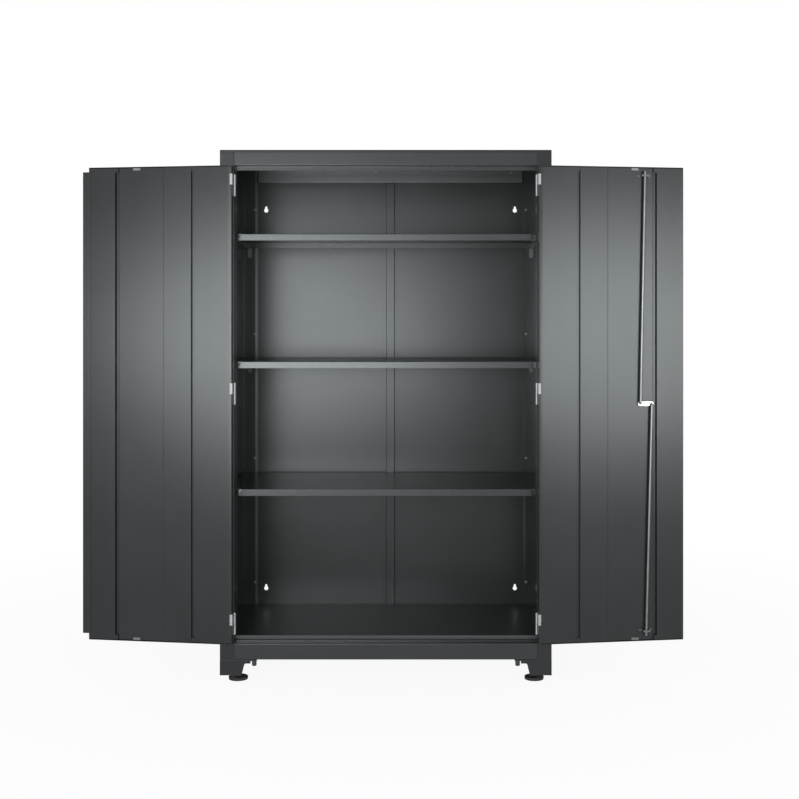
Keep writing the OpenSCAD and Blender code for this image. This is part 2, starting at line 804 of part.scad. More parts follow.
// Height of a shelf's clip slot and of the underside of its lips
function clip_slot_z(place) = slot_first_z + slot_pitch
    * round(shelf_low_slot + (shelf_high_slot - shelf_low_slot) * place / 2);
function lip_z(place) = clip_slot_z(place) + clip_rise;

// Plan of a shelf, drawn in by a wall: a wide body with a tongue between the posts
function shelf_plan(wall) = [
    [-tongue_hw + wall, shelf_setback + wall], [tongue_hw - wall, shelf_setback + wall],
    [tongue_hw - wall, shelf_body_y + wall], [shelf_hw - wall, shelf_body_y + wall],
    [shelf_hw - wall, shelf_back_y - wall], [-shelf_hw + wall, shelf_back_y - wall],
    [-shelf_hw + wall, shelf_body_y + wall], [-tongue_hw + wall, shelf_body_y + wall]
];

// Shelf: a sheet with its edges turned down all round
module shelf(place) {
    color(paint) translate([-shelf_shift, 0, lip_z(place) + seat_gap]) difference() {
        linear_extrude(shelf_lip) polygon(shelf_plan(0));
        translate([0, 0, -eps]) linear_extrude(shelf_lip - shelf_t + eps)
            polygon(shelf_plan(shelf_t));
        for (s = [-1, 1]) translate([s * (tongue_hw - tongue_r), shelf_setback - eps, 0])
            translate([0, 0, shelf_lip - tongue_r]) difference() {
                translate([s > 0 ? 0 : -tongue_r - eps, 0, 0])
                    cube([tongue_r + eps, shelf_t + 2 * eps, tongue_r + eps]);
                translate([0, -eps, 0]) bar_y(tongue_r, shelf_t + 4 * eps);
            }
    }
}

// Clip hooked in a slot: plate, tab in the slot, ledge under the shelf and curled foot
module shelf_clip() {
    t = clip_t;
    block([-clip_w / 2, 0, -clip_h], [clip_w / 2, t, 0]);
    block([-clip_w / 2, 0, -t], [clip_w / 2, clip_reach, 0]);
    block([-slot_w / 2 + tab_side_play, -sheet_t, -clip_rise - slot_h / 2 + tab_play],
          [slot_w / 2 - tab_side_play, t, -clip_rise + slot_h / 2 - tab_play]);
    block([-clip_w / 2, 0, -clip_h], [clip_w / 2, clip_curl, -clip_h + t]);
}

// The four clips of one shelf
module shelf_clips(place) {
    color(zinc) for (side = [LEFT, RIGHT]) on_side(side) {
        translate([-slot_x, post_back_y, lip_z(place)]) shelf_clip();
        translate([-slot_x, rear_face_y, lip_z(place)]) mirror([0, 1, 0]) shelf_clip();
    }
}

// Lower halves of the hinges, welded inside the post's edge
module hinge_posts(side) {
    color(zinc) at_hinge(side) for (z = hinge_zs) translate([0, 0, z]) difference() {
        union() {
            cylinder(r = barrel_r, h = half_hinge);
            block([-edge_u, 0, 0], [-edge_u + leaf_t, post_leaf_d, half_hinge]);
        }
        translate([0, 0, -eps]) cylinder(r = pin_r + press_gap, h = half_hinge + 2 * eps);
    }
}

// Hinge pins, fixed in the lower halves
module hinge_pins(side) {
    color(zinc) at_hinge(side) for (z = hinge_zs) translate([0, 0, z])
        cylinder(r = pin_r, h = hinge_h - pin_drop);
}

// Upper halves of the hinges, wrapped round the door's edge onto its inner face
module hinge_leaves(side) {
    color(zinc) on_door(side) for (z = hinge_zs)
        translate([0, 0, z + hinge_h - half_hinge]) difference() {
            union() {
                cylinder(r = barrel_r, h = half_hinge);
                block([edge_u - leaf_t, 0, 0], [edge_u, inner_v + leaf_t, half_hinge]);
                block([edge_u - leaf_t - leaf_lip, inner_v, 0],
                      [edge_u + leaf_wrap, inner_v + leaf_t, half_hinge]);
            }
            translate([0, 0, -eps]) cylinder(r = pin_r + pin_clear, h = half_hinge + 2 * eps);
        }
}

// Screws that hold the upper halves to the door
module hinge_screws(side) {
    color(chrome) on_door(side) for (z = hinge_zs, up = [0.25, 0.75])
        translate([edge_u + leaf_wrap / 2, inner_v + leaf_t, z + hinge_h - half_hinge * up])
            mirror([0, 1, 0]) screw_head(hinge_screw_r, hinge_screw_h);
}

// Door skin: outer sheet, flanges all round, returns along both edges and their tabs
module door_skin(side) {
    t = door_sheet_t;
    color(paint) on_door(side) difference() {
        union() {
            block([edge_u, outer_v, door_z0], [free_u, outer_v + t, door_z1]);
            block([edge_u, outer_v, door_z0], [edge_u + t, inner_v, door_z1]);
            block([free_u - t, outer_v, door_z0], [free_u, inner_v, door_z1]);
            block([edge_u, outer_v, door_z0], [free_u, inner_v, door_z0 + t]);
            block([edge_u, outer_v, door_z1 - t], [free_u, inner_v, door_z1]);
            block([edge_u, inner_v - t, sheet_z0], [edge_u + hinge_stile_w, inner_v, sheet_z1]);
            block([free_u - lock_stile_w, inner_v - t, sheet_z0], [free_u, inner_v, sheet_z1]);
            for (z = [sheet_z0, sheet_z1 - groove_tab]) {
                block([edge_u + hinge_stile_w - eps, inner_v - t, z],
                      [stiff_u0 - tab_gap, inner_v, z + groove_tab]);
                block([stiff_u1 + tab_gap, inner_v - t, z],
                      [free_u - lock_stile_w + eps, inner_v, z + groove_tab]);
            }
        }
        if (side == RIGHT) translate([lock_u, outer_v - eps, lock_z])
            bar_y(spindle_r + spindle_hole_gap, t + 2 * eps);
    }
}

// Door stiffener: a wide hat between the stiles, stepped beside its raised strip, with a
// strip under each groove
module door_stiffener(side) {
    t = door_sheet_t;
    skin_v = outer_v + t;
    groove_v = inner_v - groove_d;
    color(paint) on_door(side) difference() {
        union() {
            block([stiff_u0 - groove_w - groove_lap, groove_v - t, sheet_z0],
                  [stiff_u0 + t, groove_v, sheet_z1]);
            block([stiff_u1 - t, groove_v - t, sheet_z0],
                  [stiff_u1 + groove_w + groove_lap, groove_v, sheet_z1]);
            block([stiff_u0, skin_v, sheet_z0], [stiff_u0 + t, inner_v, sheet_z1]);
            block([stiff_u1 - t, skin_v, sheet_z0], [stiff_u1, low_v, sheet_z1]);
            block([stiff_u0, inner_v - t, sheet_z0], [step_u, inner_v, sheet_z1]);
            block([step_u - t, low_v - t, sheet_z0], [step_u, inner_v, sheet_z1]);
            block([step_u - t, low_v - t, sheet_z0], [stiff_u1, low_v, sheet_z1]);
        }
        if (side == RIGHT) translate([lock_u, low_v - t - eps, lock_z])
            bar_y(spindle_r + spindle_hole_gap, t + 2 * eps);
    }
}

// Astragal on the left door, joggled behind the right door's edge
module door_astragal() {
    v = inner_v + astragal_joggle;
    low_z = sill_z + astragal_end_gap;
    color(paint) on_door(LEFT) translate([0, 0, low_z])
        linear_extrude(head_stop_z - astragal_end_gap - low_z) polygon([
            [free_u - astragal_lap, inner_v], [free_u, inner_v], [free_u + 1, v],
            [free_u + astragal_reach, v], [free_u + astragal_reach, v + astragal_t],
            [free_u + 1, v + astragal_t], [free_u, inner_v + astragal_t],
            [free_u - astragal_lap, inner_v + astragal_t]
        ]);
}

// Strike plates at the top and bottom of a door
module strike_plates(side) {
    t = strike_t;
    color(zinc) on_door(side) for (z = [sheet_z0, sheet_z1 - strike_h])
        block([strike_u, low_v, z], [strike_u + strike_w, low_v + t, z + strike_h]);
}

// Lock housing on the right door's outer face, the spindle's bearing
module lock_housing() {
    side_r = housing_corner_r;
    color(chrome) on_door(RIGHT) translate([lock_u, outer_v - housing_t, lock_z]) difference() {
        union() {
            block([-housing_w / 2, 0, -housing_h / 2 + side_r],
                  [housing_w / 2, housing_t, housing_h / 2 - side_r]);
            block([-housing_w / 2 + side_r, 0, -housing_h / 2],
                  [housing_w / 2 - side_r, housing_t, housing_h / 2]);
            for (x = [-1, 1], z = [-1, 1])
                translate([x * (housing_w / 2 - side_r), 0, z * (housing_h / 2 - side_r)])
                    bar_y(side_r, housing_t);
        }
        translate([0, -eps, 0]) bar_y(spindle_r + lock_clear, housing_t + 2 * eps);
    }
}

// Handle: a hub on the spindle with a lever towards the door's free edge
module lock_handle() {
    color(chrome) on_door(RIGHT) translate([lock_u, hub_v, lock_z]) difference() {
        union() {
            translate([0, -hub_t, 0]) bar_y(hub_r, hub_t);
            block([0, -hub_t, -handle_w / 2],
                  [handle_reach - handle_w / 2, -hub_t + handle_t, handle_w / 2]);
            translate([handle_reach - handle_w / 2, -hub_t, 0]) bar_y(handle_w / 2, handle_t);
        }
        translate([0, -spindle_seat, 0]) bar_y(spindle_r + press_gap, spindle_seat + eps);
        translate([0, -hub_t - eps, 0])
            bar_y(key_r + lock_clear, hub_t - spindle_seat - key_wall + eps);
    }
}

// Key cylinder in the handle's hub
module key_cylinder() {
    length = hub_t - spindle_seat - key_wall + key_proud;
    color(zinc) on_door(RIGHT) translate([lock_u, hub_v - hub_t - key_proud, lock_z])
        difference() {
            bar_y(key_r, length);
            translate([-key_slot_w / 2, -eps, -key_slot_h / 2])
                cube([key_slot_w, key_slot_d + eps, key_slot_h]);
    }
}

// Spindle through the door, stepped down where the cam seats
module lock_spindle() {
    start_v = hub_v - spindle_seat + press_gap;
    end_v = cam_v + cam_t + spindle_tail;
    color(zinc) on_door(RIGHT) translate([lock_u, 0, lock_z]) {
        translate([0, start_v, 0]) bar_y(spindle_r, cam_v - start_v);
        translate([0, cam_v - eps, 0]) bar_y(spindle_end_r, end_v - cam_v + eps);
    }
}

// Cam: a flat bar with a hole for the spindle and one at each end for the rods' pegs
module lock_cam() {
    color(chrome) on_door(RIGHT) translate([lock_u, cam_v, lock_z]) difference() {
        union() {
            block([-cam_r, 0, -cam_end_r], [cam_r, cam_t, cam_end_r]);
            for (s = [-1, 1]) translate([s * cam_r, 0, 0]) bar_y(cam_end_r, cam_t);
        }
        translate([0, -eps, 0]) bar_y(spindle_end_r + press_gap, cam_t + 2 * eps);
        for (s = [-1, 1])
            translate([s * cam_r, -eps, 0]) bar_y(peg_r + lock_clear, cam_t + 2 * eps);
    }
}

// Nut that clamps the cam on the spindle
module cam_nut() {
    color(chrome) on_door(RIGHT) translate([lock_u, cam_v + cam_t, lock_z]) difference() {
        bar_y(spindle_end_r * nut_ratio, cam_nut_t, 6);
        translate([0, -eps, 0]) bar_y(spindle_end_r + press_gap, cam_nut_t + 2 * eps);
    }
}

// Lock rod from its peg in the cam to its tip, up or down
module rod(length) {
    c = rod_chamfer;
    translate([0, 0, -rod_tail]) cylinder(r = rod_r, h = length + rod_tail - c);
    translate([0, 0, length - c]) cylinder(r1 = rod_r, r2 = rod_r - c, h = c);
}

// Peg bent from a rod's end through the cam
module rod_peg() {
    rotate([90, 0, 0]) cylinder(r = peg_r, h = rod_v - cam_v + peg_tip);
}

module rod_upper() {
    color(chrome) on_door(RIGHT) translate([upper_pin_u, rod_v, lock_z]) {
        rod_peg();
        rotate([0, upper_tilt, 0]) rod((upper_tip_z - lock_z) / cos(upper_tilt));
    }
}

module rod_lower() {
    color(chrome) on_door(RIGHT) translate([lower_pin_u, rod_v, lock_z]) {
        rod_peg();
        rotate([0, 180 + lower_tilt, 0]) rod((lock_z - lower_tip_z) / cos(lower_tilt));
    }
}

// Straps that guide the rods near their tips
module rod_guides() {
    t = guide_t;
    half = guide_room / 2;
    top_v = rod_v + rod_r + guide_gap;
    color(zinc) on_door(RIGHT) for (g = [[guide_top_u, guide_top_z], [guide_low_u, guide_low_z]])
        translate([g[0], 0, g[1] - guide_strap_w / 2]) {
            for (s = [-1, 1]) translate([s * (half + t / 2), 0, 0]) {
                block([-t / 2, low_v, 0], [t / 2, top_v + t, guide_strap_w]);
                block([s > 0 ? -t / 2 : -guide_foot, low_v, 0],
                      [s > 0 ? guide_foot : t / 2, low_v + t, guide_strap_w]);
            }
            block([-half - t, top_v, 0], [half + t, top_v + t, guide_strap_w]);
        }
}

// Screws through the rear posts into the back sheets
module back_screws() {
    x = hw - rear_post_w + rear_post_edge + rear_post_slope + back_screw_inset;
    pitch = (cab_h - back_screw_drop - back_screw_low_z) / (back_screw_rows - 1);
    color(zinc) for (s = [LEFT, RIGHT], i = [0 : back_screw_rows - 1])
        translate([s * x, rear_face_y, back_screw_low_z + i * pitch])
            screw_head(screw_r, screw_h);
}

// Screws in the rear header, under the top
module header_screws() {
    y = back_y - rear_header_d + header_joggle;
    z = cab_h - rear_header_h / 4;
    end_x = hw - rear_post_w - header_screw_inset;
    color(zinc) for (s = [LEFT, RIGHT], x = [header_screw_x, end_x])
        translate([s * x, y, z]) screw_head(screw_r, screw_h);
}

framed() side_panel(LEFT);  // side_panel_left
framed() side_panel(RIGHT);  // side_panel_right
framed() post_channel(LEFT);  // post_channel_left
framed() post_channel(RIGHT);  // post_channel_right
framed() rear_post(LEFT);  // rear_post_left
framed() rear_post(RIGHT);  // rear_post_right
framed() top_panel();
framed() top_rail();
framed() rear_header();
framed() back_panel(LEFT);  // back_panel_left
framed() back_panel(RIGHT);  // back_panel_right
framed() back_rib();
framed() floor_panel();
framed() base_rail_front();
framed() base_rail_rear();
framed() floor_beams();
framed() foot(LEFT, FRONT);  // foot_front_left
framed() foot(RIGHT, FRONT);  // foot_front_right
framed() foot(LEFT, REAR);  // foot_rear_left
framed() foot(RIGHT, REAR);  // foot_rear_right
framed() foot_bolts();
framed() leveler_nuts();
framed() leveler(LEFT, FRONT);  // leveler_front_left
framed() leveler(RIGHT, FRONT);  // leveler_front_right
framed() leveler(LEFT, REAR);  // leveler_rear_left
framed() leveler(RIGHT, REAR);  // leveler_rear_right
framed() shelf(0);  // shelf_low
framed() shelf(1);  // shelf_middle
framed() shelf(2);  // shelf_high
framed() shelf_clips(0);  // shelf_clips_low
framed() shelf_clips(1);  // shelf_clips_middle
framed() shelf_clips(2);  // shelf_clips_high
framed() hinge_posts(LEFT);  // hinge_posts_left
framed() hinge_posts(RIGHT);  // hinge_posts_right
framed() hinge_pins(LEFT);  // hinge_pins_left
framed() hinge_pins(RIGHT);  // hinge_pins_right
framed() hinge_leaves(LEFT);  // hinge_leaves_left
framed() hinge_leaves(RIGHT);  // hinge_leaves_right
framed() hinge_screws(LEFT);  // hinge_screws_left
framed() hinge_screws(RIGHT);  // hinge_screws_right
framed() door_skin(LEFT);  // door_skin_left
framed() door_skin(RIGHT);  // door_skin_right
framed() door_stiffener(LEFT);  // door_stiffener_left
framed() door_stiffener(RIGHT);  // door_stiffener_right
framed() door_astragal();
framed() strike_plates(LEFT);  // strike_plates_left
framed() strike_plates(RIGHT);  // strike_plates_right
framed() lock_housing();
framed() lock_handle();
framed() key_cylinder();
framed() lock_spindle();
framed() lock_cam();
framed() cam_nut();
framed() rod_upper();
framed() rod_lower();
framed() rod_guides();
framed() back_screws();
framed() header_screws();
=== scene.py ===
import json
import math

import bmesh
import bpy
from bpy.props import (
    FloatProperty,
    FloatVectorProperty,
    IntProperty,
    PointerProperty,
)
from bpy.types import Operator, Panel, PropertyGroup
from mathutils import Matrix, Vector


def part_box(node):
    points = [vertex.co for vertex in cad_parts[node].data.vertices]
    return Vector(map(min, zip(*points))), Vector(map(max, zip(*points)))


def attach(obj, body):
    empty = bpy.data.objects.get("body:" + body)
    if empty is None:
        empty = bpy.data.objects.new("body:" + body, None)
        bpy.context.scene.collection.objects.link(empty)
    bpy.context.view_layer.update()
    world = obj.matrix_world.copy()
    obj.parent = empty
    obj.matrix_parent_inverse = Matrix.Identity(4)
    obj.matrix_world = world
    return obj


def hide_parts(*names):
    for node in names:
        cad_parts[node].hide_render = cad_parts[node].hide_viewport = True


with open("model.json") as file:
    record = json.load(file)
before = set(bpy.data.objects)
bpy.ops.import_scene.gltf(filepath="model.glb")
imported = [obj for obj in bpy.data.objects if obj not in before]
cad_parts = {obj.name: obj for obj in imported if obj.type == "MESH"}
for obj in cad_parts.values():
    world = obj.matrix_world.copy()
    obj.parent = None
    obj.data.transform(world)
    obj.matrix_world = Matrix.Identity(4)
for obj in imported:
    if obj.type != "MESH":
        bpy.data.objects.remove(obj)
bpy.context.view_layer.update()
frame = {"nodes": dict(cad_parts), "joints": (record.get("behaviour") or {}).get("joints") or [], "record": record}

bl_info = {
    "name": "Heavy-duty storage cabinet",
    "version": (1, 0, 0),
    "blender": (4, 5, 0),
    "location": "3D View > Sidebar > Cabinet",
    "description": "Dresses the packed storage cabinet in folded, powder-coated sheet steel",
    "category": "Object",
}

MM = 0.001
LEFT, RIGHT = -1, 1
RECORD = frame["record"]
BODY_OF = {
    node: body for body, nodes in RECORD["behaviour"]["bodies"].items() for node in nodes
}
SLOT_OF = {part["node"]: part["material_slot"] for part in RECORD["subparts"]}
JOINTS = {joint["name"]: joint for joint in frame["joints"]}


# Sizes and colours


class CabinetFolds(PropertyGroup):
    """How the sheet steel is folded and cut"""

    fold_radius: FloatProperty(
        name="Fold radius",
        description="Outer radius of the folds in the body's sheets",
        default=3.4 * MM, min=0.5 * MM, max=6 * MM, unit="LENGTH",
    )
    thin_fold_radius: FloatProperty(
        name="Thin fold radius",
        description="Outer radius of the folds in the thinner shelves, back and door stiffeners",
        default=2.6 * MM, min=0.5 * MM, max=5 * MM, unit="LENGTH",
    )
    door_fold_radius: FloatProperty(
        name="Door fold radius",
        description="Outer radius of the folds round the door skins and the feet",
        default=1.5 * MM, min=0.5 * MM, max=2 * MM, unit="LENGTH",
    )
    door_edge_width: FloatProperty(
        name="Dished edge",
        description="Width of the strip along each door's hinge edge that the press left dished",
        default=15 * MM, min=5 * MM, max=30 * MM, unit="LENGTH",
    )
    door_edge_dish: FloatProperty(
        name="Dish of that edge",
        description="How far that strip falls away at the door's very edge",
        default=1.1 * MM, min=0, max=1.6 * MM, unit="LENGTH",
    )
    step_slope: FloatProperty(
        name="Stiffener step slope",
        description="How far the riser of the stiffeners' step leans over",
        default=1.5 * MM, min=0, max=25 * MM, unit="LENGTH",
    )
    inner_radius: FloatProperty(
        name="Inner radius",
        description="Radius inside the folds",
        default=0.8 * MM, min=0.2 * MM, max=2 * MM, unit="LENGTH",
    )
    cut_radius: FloatProperty(
        name="Cut edge radius",
        description="Rounding that deburring and the coat leave on cut edges",
        default=0.35 * MM, min=0.1 * MM, max=0.8 * MM, unit="LENGTH",
    )
    fold_steps: IntProperty(
        name="Fold steps", description="Facets round each fold", default=4, min=2, max=8
    )
    facet_limit: FloatProperty(
        name="Facet limit",
        description="A face narrower than this is a facet of a rounding",
        default=1.6 * MM, min=0.5 * MM, max=3 * MM, unit="LENGTH",
    )
    sheet_limit: FloatProperty(
        name="Sheet limit",
        description="A face no wider than this is a sheet's cut edge and not a fold",
        default=5.2 * MM, min=2 * MM, max=8 * MM, unit="LENGTH",
    )


class CabinetFinish(PropertyGroup):
    """Colours and gloss of the finishes"""

    coat_colour: FloatVectorProperty(
        name="Powder coat",
        description="Colour of the dark grey powder coat",
        default=(0.0108, 0.0118, 0.0122), min=0, max=1, subtype="COLOR",
    )
    # Painted light: a cool tint on the coat's reflections that stands in for the lamps' cool light
    painted_light_tint: FloatVectorProperty(
        name="Coat tint",
        description="Tint of what the powder coat mirrors",
        default=(0.93, 0.995, 1.0), min=0, max=1, subtype="COLOR",
    )
    coat_roughness: FloatProperty(
        name="Coat roughness",
        description="Roughness of the satin powder coat",
        default=0.25, min=0.05, max=1, subtype="FACTOR",
    )
    coat_grain: FloatProperty(
        name="Coat grain",
        description="Size of the powder coat's fine grain",
        default=1.1 * MM, min=0.2 * MM, max=5 * MM, unit="LENGTH",
    )
    zinc_colour: FloatVectorProperty(
        name="Zinc plate",
        description="Colour of the dull zinc plate on strikes, nuts and screws",
        default=(0.13, 0.132, 0.134), min=0, max=1, subtype="COLOR",
    )
    # The clips and rod guides take a darker zinc colour than the strikes
    clip_colour: FloatVectorProperty(
        name="Clip zinc",
        description="Colour of the dark zinc plate on the shelf clips and rod guides",
        default=(0.09, 0.0915, 0.093), min=0, max=1, subtype="COLOR",
    )
    hinge_colour: FloatVectorProperty(
        name="Hinge zinc",
        description="Colour of the zinc plate on the hinges",
        default=(0.27, 0.274, 0.278), min=0, max=1, subtype="COLOR",
    )
    rod_colour: FloatVectorProperty(
        name="Drawn bar",
        description="Colour of the zinc-plated drawn bar of the lock rods and hinge pins",
        default=(0.13, 0.132, 0.134), min=0, max=1, subtype="COLOR",
    )
    bright_colour: FloatVectorProperty(
        name="Bright zinc",
        description="Colour of the bright zinc plate on the lock's cam, nut and spindle",
        default=(0.42, 0.425, 0.43), min=0, max=1, subtype="COLOR",
    )
    shelf_sheen: FloatProperty(
        name="Shelf sheen",
        description="How strongly the shelves' smoother coat mirrors the lamps",
        default=0.44, min=0, max=1, subtype="FACTOR",
    )
    chrome_colour: FloatVectorProperty(
        name="Chrome plate",
        description="Colour of the chrome-plated handle and housing",
        default=(0.78, 0.79, 0.80), min=0, max=1, subtype="COLOR",
    )
    black_colour: FloatVectorProperty(
        name="Black steel",
        description="Colour of the black bolts and leveler stems",
        default=(0.014, 0.014, 0.0145), min=0, max=1, subtype="COLOR",
    )
    rubber_colour: FloatVectorProperty(
        name="Rubber",
        description="Colour of the leveler pads",
        default=(0.008, 0.008, 0.008), min=0, max=1, subtype="COLOR",
    )


class CabinetHardware(PropertyGroup):
    """Screws, threads, hinges and lock"""

    thread_pitch: FloatProperty(
        name="Stem thread pitch",
        description="Pitch of the thread on the leveler stems",
        default=1.75 * MM, min=0.5 * MM, max=3 * MM, unit="LENGTH",
    )
    thread_depth: FloatProperty(
        name="Thread depth",
        description="Depth of the threads",
        default=0.75 * MM, min=0.2 * MM, max=1.5 * MM, unit="LENGTH",
    )
    recess_width: FloatProperty(
        name="Recess width",
        description="Width of the cross recess in a screw's head, as a share of the head",
        default=0.24, min=0.1, max=0.4, subtype="FACTOR",
    )
    grip_swell: FloatProperty(
        name="Grip swell",
        description="How far the handle's grip is crowned",
        default=1.6 * MM, min=0, max=4 * MM, unit="LENGTH",
    )


class CabinetStage(PropertyGroup):
    """Floor, lamps and camera"""

    floor_colour: FloatVectorProperty(
        name="Floor",
        description="Colour of the pale floor and backdrop",
        default=(0.86, 0.86, 0.86), min=0, max=1, subtype="COLOR",
    )
    floor_white: FloatProperty(
        name="White of the floor",
        description="How much of the floor near the cabinet is plain white to the eye",
        default=0.92, min=0, max=1, subtype="FACTOR",
    )
    sky_level: FloatProperty(
        name="Room light",
        description="Level of the soft light from all round",
        default=0.25, min=0, max=1,
    )
    wide_power: FloatProperty(
        name="Wide lamp",
        description="Power of the wide soft lamp left of the camera",
        default=195, min=0, max=400, unit="POWER",
    )
    side_power: FloatProperty(
        name="Side lamp",
        description="Power of the soft lamp right of the camera",
        default=115, min=0, max=400, unit="POWER",
    )
    camera_place: FloatVectorProperty(
        name="Camera",
        description="Where the camera stands",
        default=(0.1663, -5.020, 1.3344), subtype="TRANSLATION", unit="LENGTH",
    )
    focal_length: FloatProperty(
        name="Focal length",
        description="Focal length in millimetres on a 36 mm sensor",
        default=58.06, min=20, max=200,
    )
    shift: FloatVectorProperty(
        name="Shift",
        description="How far the camera's frame is shifted, in shares of its width",
        default=(-0.0357, -0.0995), size=2,
    )


# Shapes in sheet steel


FLAT = math.radians(0.6)
SHARP = math.radians(35)
BROAD_TURN, ROUND_TURN = math.radians(20), math.radians(50)
WELD = 1e-6
SPOTS_ALONG = (0.27, 0.5, 0.71)


def flat_regions(form):
    """The form's faces in groups that lie in one plane and touch."""
    left = set(form.faces)
    while left:
        todo = [left.pop()]
        region = set(todo)
        while todo:
            face = todo.pop()
            for edge in face.edges:
                for other in edge.link_faces:
                    if other in left and face.normal.angle(other.normal, 1) < FLAT:
                        left.remove(other)
                        region.add(other)
                        todo.append(other)
        yield region


def loops_round(region):
    """The vertices of each closed outline of a flat region, the outermost first."""
    follow = {}
    for face in region:
        for edge in face.edges:
            if sum(other in region for other in edge.link_faces) == 1:
                a, b = edge.verts
                follow.setdefault(a, set()).add(b)
                follow.setdefault(b, set()).add(a)
    loops = []
    while follow:
        todo = [next(iter(follow))]
        loop = set(todo)
        while todo:
            for other in follow.pop(todo.pop()):
                if other not in loop:
                    loop.add(other)
                    todo.append(other)
        loops.append([vert.co.copy() for vert in loop])
    return sorted(loops, key=spread_of, reverse=True)


def spread_of(points):
    """How far points lie apart, corner to corner."""
    low, high = corners_of(points)
    return (high - low).length


def corners_of(points):
    """The lowest and the highest corner of the box round points."""
    return (
        Vector([min(point[i] for point in points) for i in range(3)]),
        Vector([max(point[i] for point in points) for i in range(3)]),
    )


def cuts_through_holes(form):
    """Planes, as an axis and a place, that part every flat face through its holes."""
    cuts = set()
    for region in flat_regions(form):
        axis = 0 if abs(next(iter(region)).normal.z) > 0.9 else 2
        for loop in loops_round(region)[1:]:
            low, high = corners_of(loop)
            cuts.add((axis, round((low[axis] + high[axis]) / 2, 5)))
    return sorted(cuts)


def cut_along(form, place, normal):
    """Parts a form's faces along a plane, and returns what the cut made."""
    return bmesh.ops.bisect_plane(
        form, geom=[*form.verts, *form.edges, *form.faces], dist=WELD,
        plane_co=place, plane_no=normal,
    )["geom_cut"]


def solid_copy(node):
    """A node's CAD mesh, welded, with its flat faces in few pieces and none round a hole."""
    form = bmesh.new()
    form.from_mesh(frame["nodes"][node].data)
    bmesh.ops.remove_doubles(form, verts=form.verts, dist=WELD)
    bmesh.ops.recalc_face_normals(form, faces=form.faces)
    for axis, place in cuts_through_holes(form):
        normal = Vector((0, 0, 0))
        normal[axis] = 1
        for piece in cut_along(form, normal * place, normal):
            if isinstance(piece, bmesh.types.BMEdge):
                piece.seam = True
    bmesh.ops.dissolve_limit(
        form, angle_limit=FLAT, verts=form.verts, edges=form.edges, delimit={"SEAM"}
    )
    bmesh.ops.recalc_face_normals(form, faces=form.faces)
    return form


def reach_inward(face, edge):
    """How far a flat face runs inward from one of its edges, away from the edge's ends."""
    loop = next(each for each in edge.link_loops if each.face == face)
    start = loop.vert.co
    along = loop.link_loop_next.vert.co - start
    inward = face.normal.cross(along).normalized()
    reaches = []
    for share in SPOTS_ALONG:
        spot = start + along * share
        hits = []
        for other in face.edges:
            if other is edge:
                continue
            a, b = (vert.co - spot for vert in other.verts)
            side_a, side_b = a.dot(along), b.dot(along)
            if (side_a > 0) != (side_b > 0):
                part = side_a / (side_a - side_b)
                reach = a.lerp(b, part).dot(inward)
                if reach > WELD:
                    hits.append(reach)
        reaches.append(min(hits, default=1.0))
    return sorted(reaches)[len(reaches) // 2]


def sharp_edges(form, convex):
    """The form's sharp edges that stand out (convex) or lie in a corner."""
    return [
        edge
        for edge in form.edges
        if edge.is_manifold
        and edge.calc_face_angle(0) > SHARP
        and edge.is_convex == convex
    ]


def ease_ends(edges, radius):
    """Splits long edges near their ends, so that a rounding that runs out there stays short."""
    end, least = 2 * radius, 7 * radius
    eased = []
    for edge in edges:
        if edge.calc_length() > least:
            for vert in list(edge.verts):
                share = end / edge.calc_length()
                eased.append(bmesh.utils.edge_split(edge, vert, share)[0])
        eased.append(edge)
    return eased


def round_off(form, edges, radius, steps):
    """Rounds the given edges of a form, if there are any."""
    if edges:
        bmesh.ops.bevel(
            form, geom=ease_ends(edges, radius), offset=radius, offset_type="OFFSET",
            segments=steps, profile=0.5, affect="EDGES", clamp_overlap=False,
        )


def fold_sheet(form, radius, inner=None):
    """Rounds a sheet's folds outside and inside, then takes the sharpness off its cut edges."""
    folds = bpy.context.scene.cabinet_folds
    inner = inner or folds.inner_radius
    form.faces.ensure_lookup_table()
    outer = [
        edge
        for edge in sharp_edges(form, True)
        if min(reach_inward(face, edge) for face in edge.link_faces) > folds.sheet_limit
    ]
    round_off(form, outer, radius, folds.fold_steps)
    round_off(form, sharp_edges(form, False), inner, 2)
    round_off(form, sharp_edges(form, True), min(inner, folds.cut_radius), 2)


def width_of(face):
    """How wide a long face is."""
    return 2 * face.calc_area() / max(face.calc_perimeter(), 1e-9)


def smooth_normals(form):
    """Corner normals that keep broad faces flat and turn smoothly round folds and bars."""
    facet = bpy.context.scene.cabinet_folds.facet_limit
    broad = {face: width_of(face) > facet for face in form.faces}
    weight = {face: face.calc_area() ** 2 for face in form.faces}
    normals = []
    for face in form.faces:
        for loop in face.loops:
            total = Vector()
            for other in loop.vert.link_faces:
                most = BROAD_TURN if broad[face] and broad[other] else ROUND_TURN
                if face.normal.dot(other.normal) > math.cos(most):
                    total += other.normal * weight[other]
            normals.append(total.normalized() if total.length > 0 else face.normal.copy())
    return normals


def mark_wear(form):
    """Marks the corners of narrow facets, where hands and shelves rub the finish."""
    facet = bpy.context.scene.cabinet_folds.facet_limit
    wear = form.loops.layers.float.new("wear")
    for face in form.faces:
        worn = 1.0 if width_of(face) < facet else 0.0
        for loop in face.loops:
            loop[wear] = worn


def add_piece(name, form, node, material, slot=None, replaces=True):
    """Makes a piece from a form, which rides on the node's body and stands for the node."""
    mesh = bpy.data.meshes.new(name)
    form.normal_update()
    mark_wear(form)
    normals = smooth_normals(form)
    form.to_mesh(mesh)
    form.free()
    mesh.materials.append(material)
    mesh.shade_smooth()
    mesh.normals_split_custom_set(normals)
    piece = bpy.data.objects.new(name, mesh)
    bpy.context.scene.collection.objects.link(piece)
    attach(piece, BODY_OF[node])
    if replaces:
        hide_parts(node)
    slot or SLOT_OF[node]


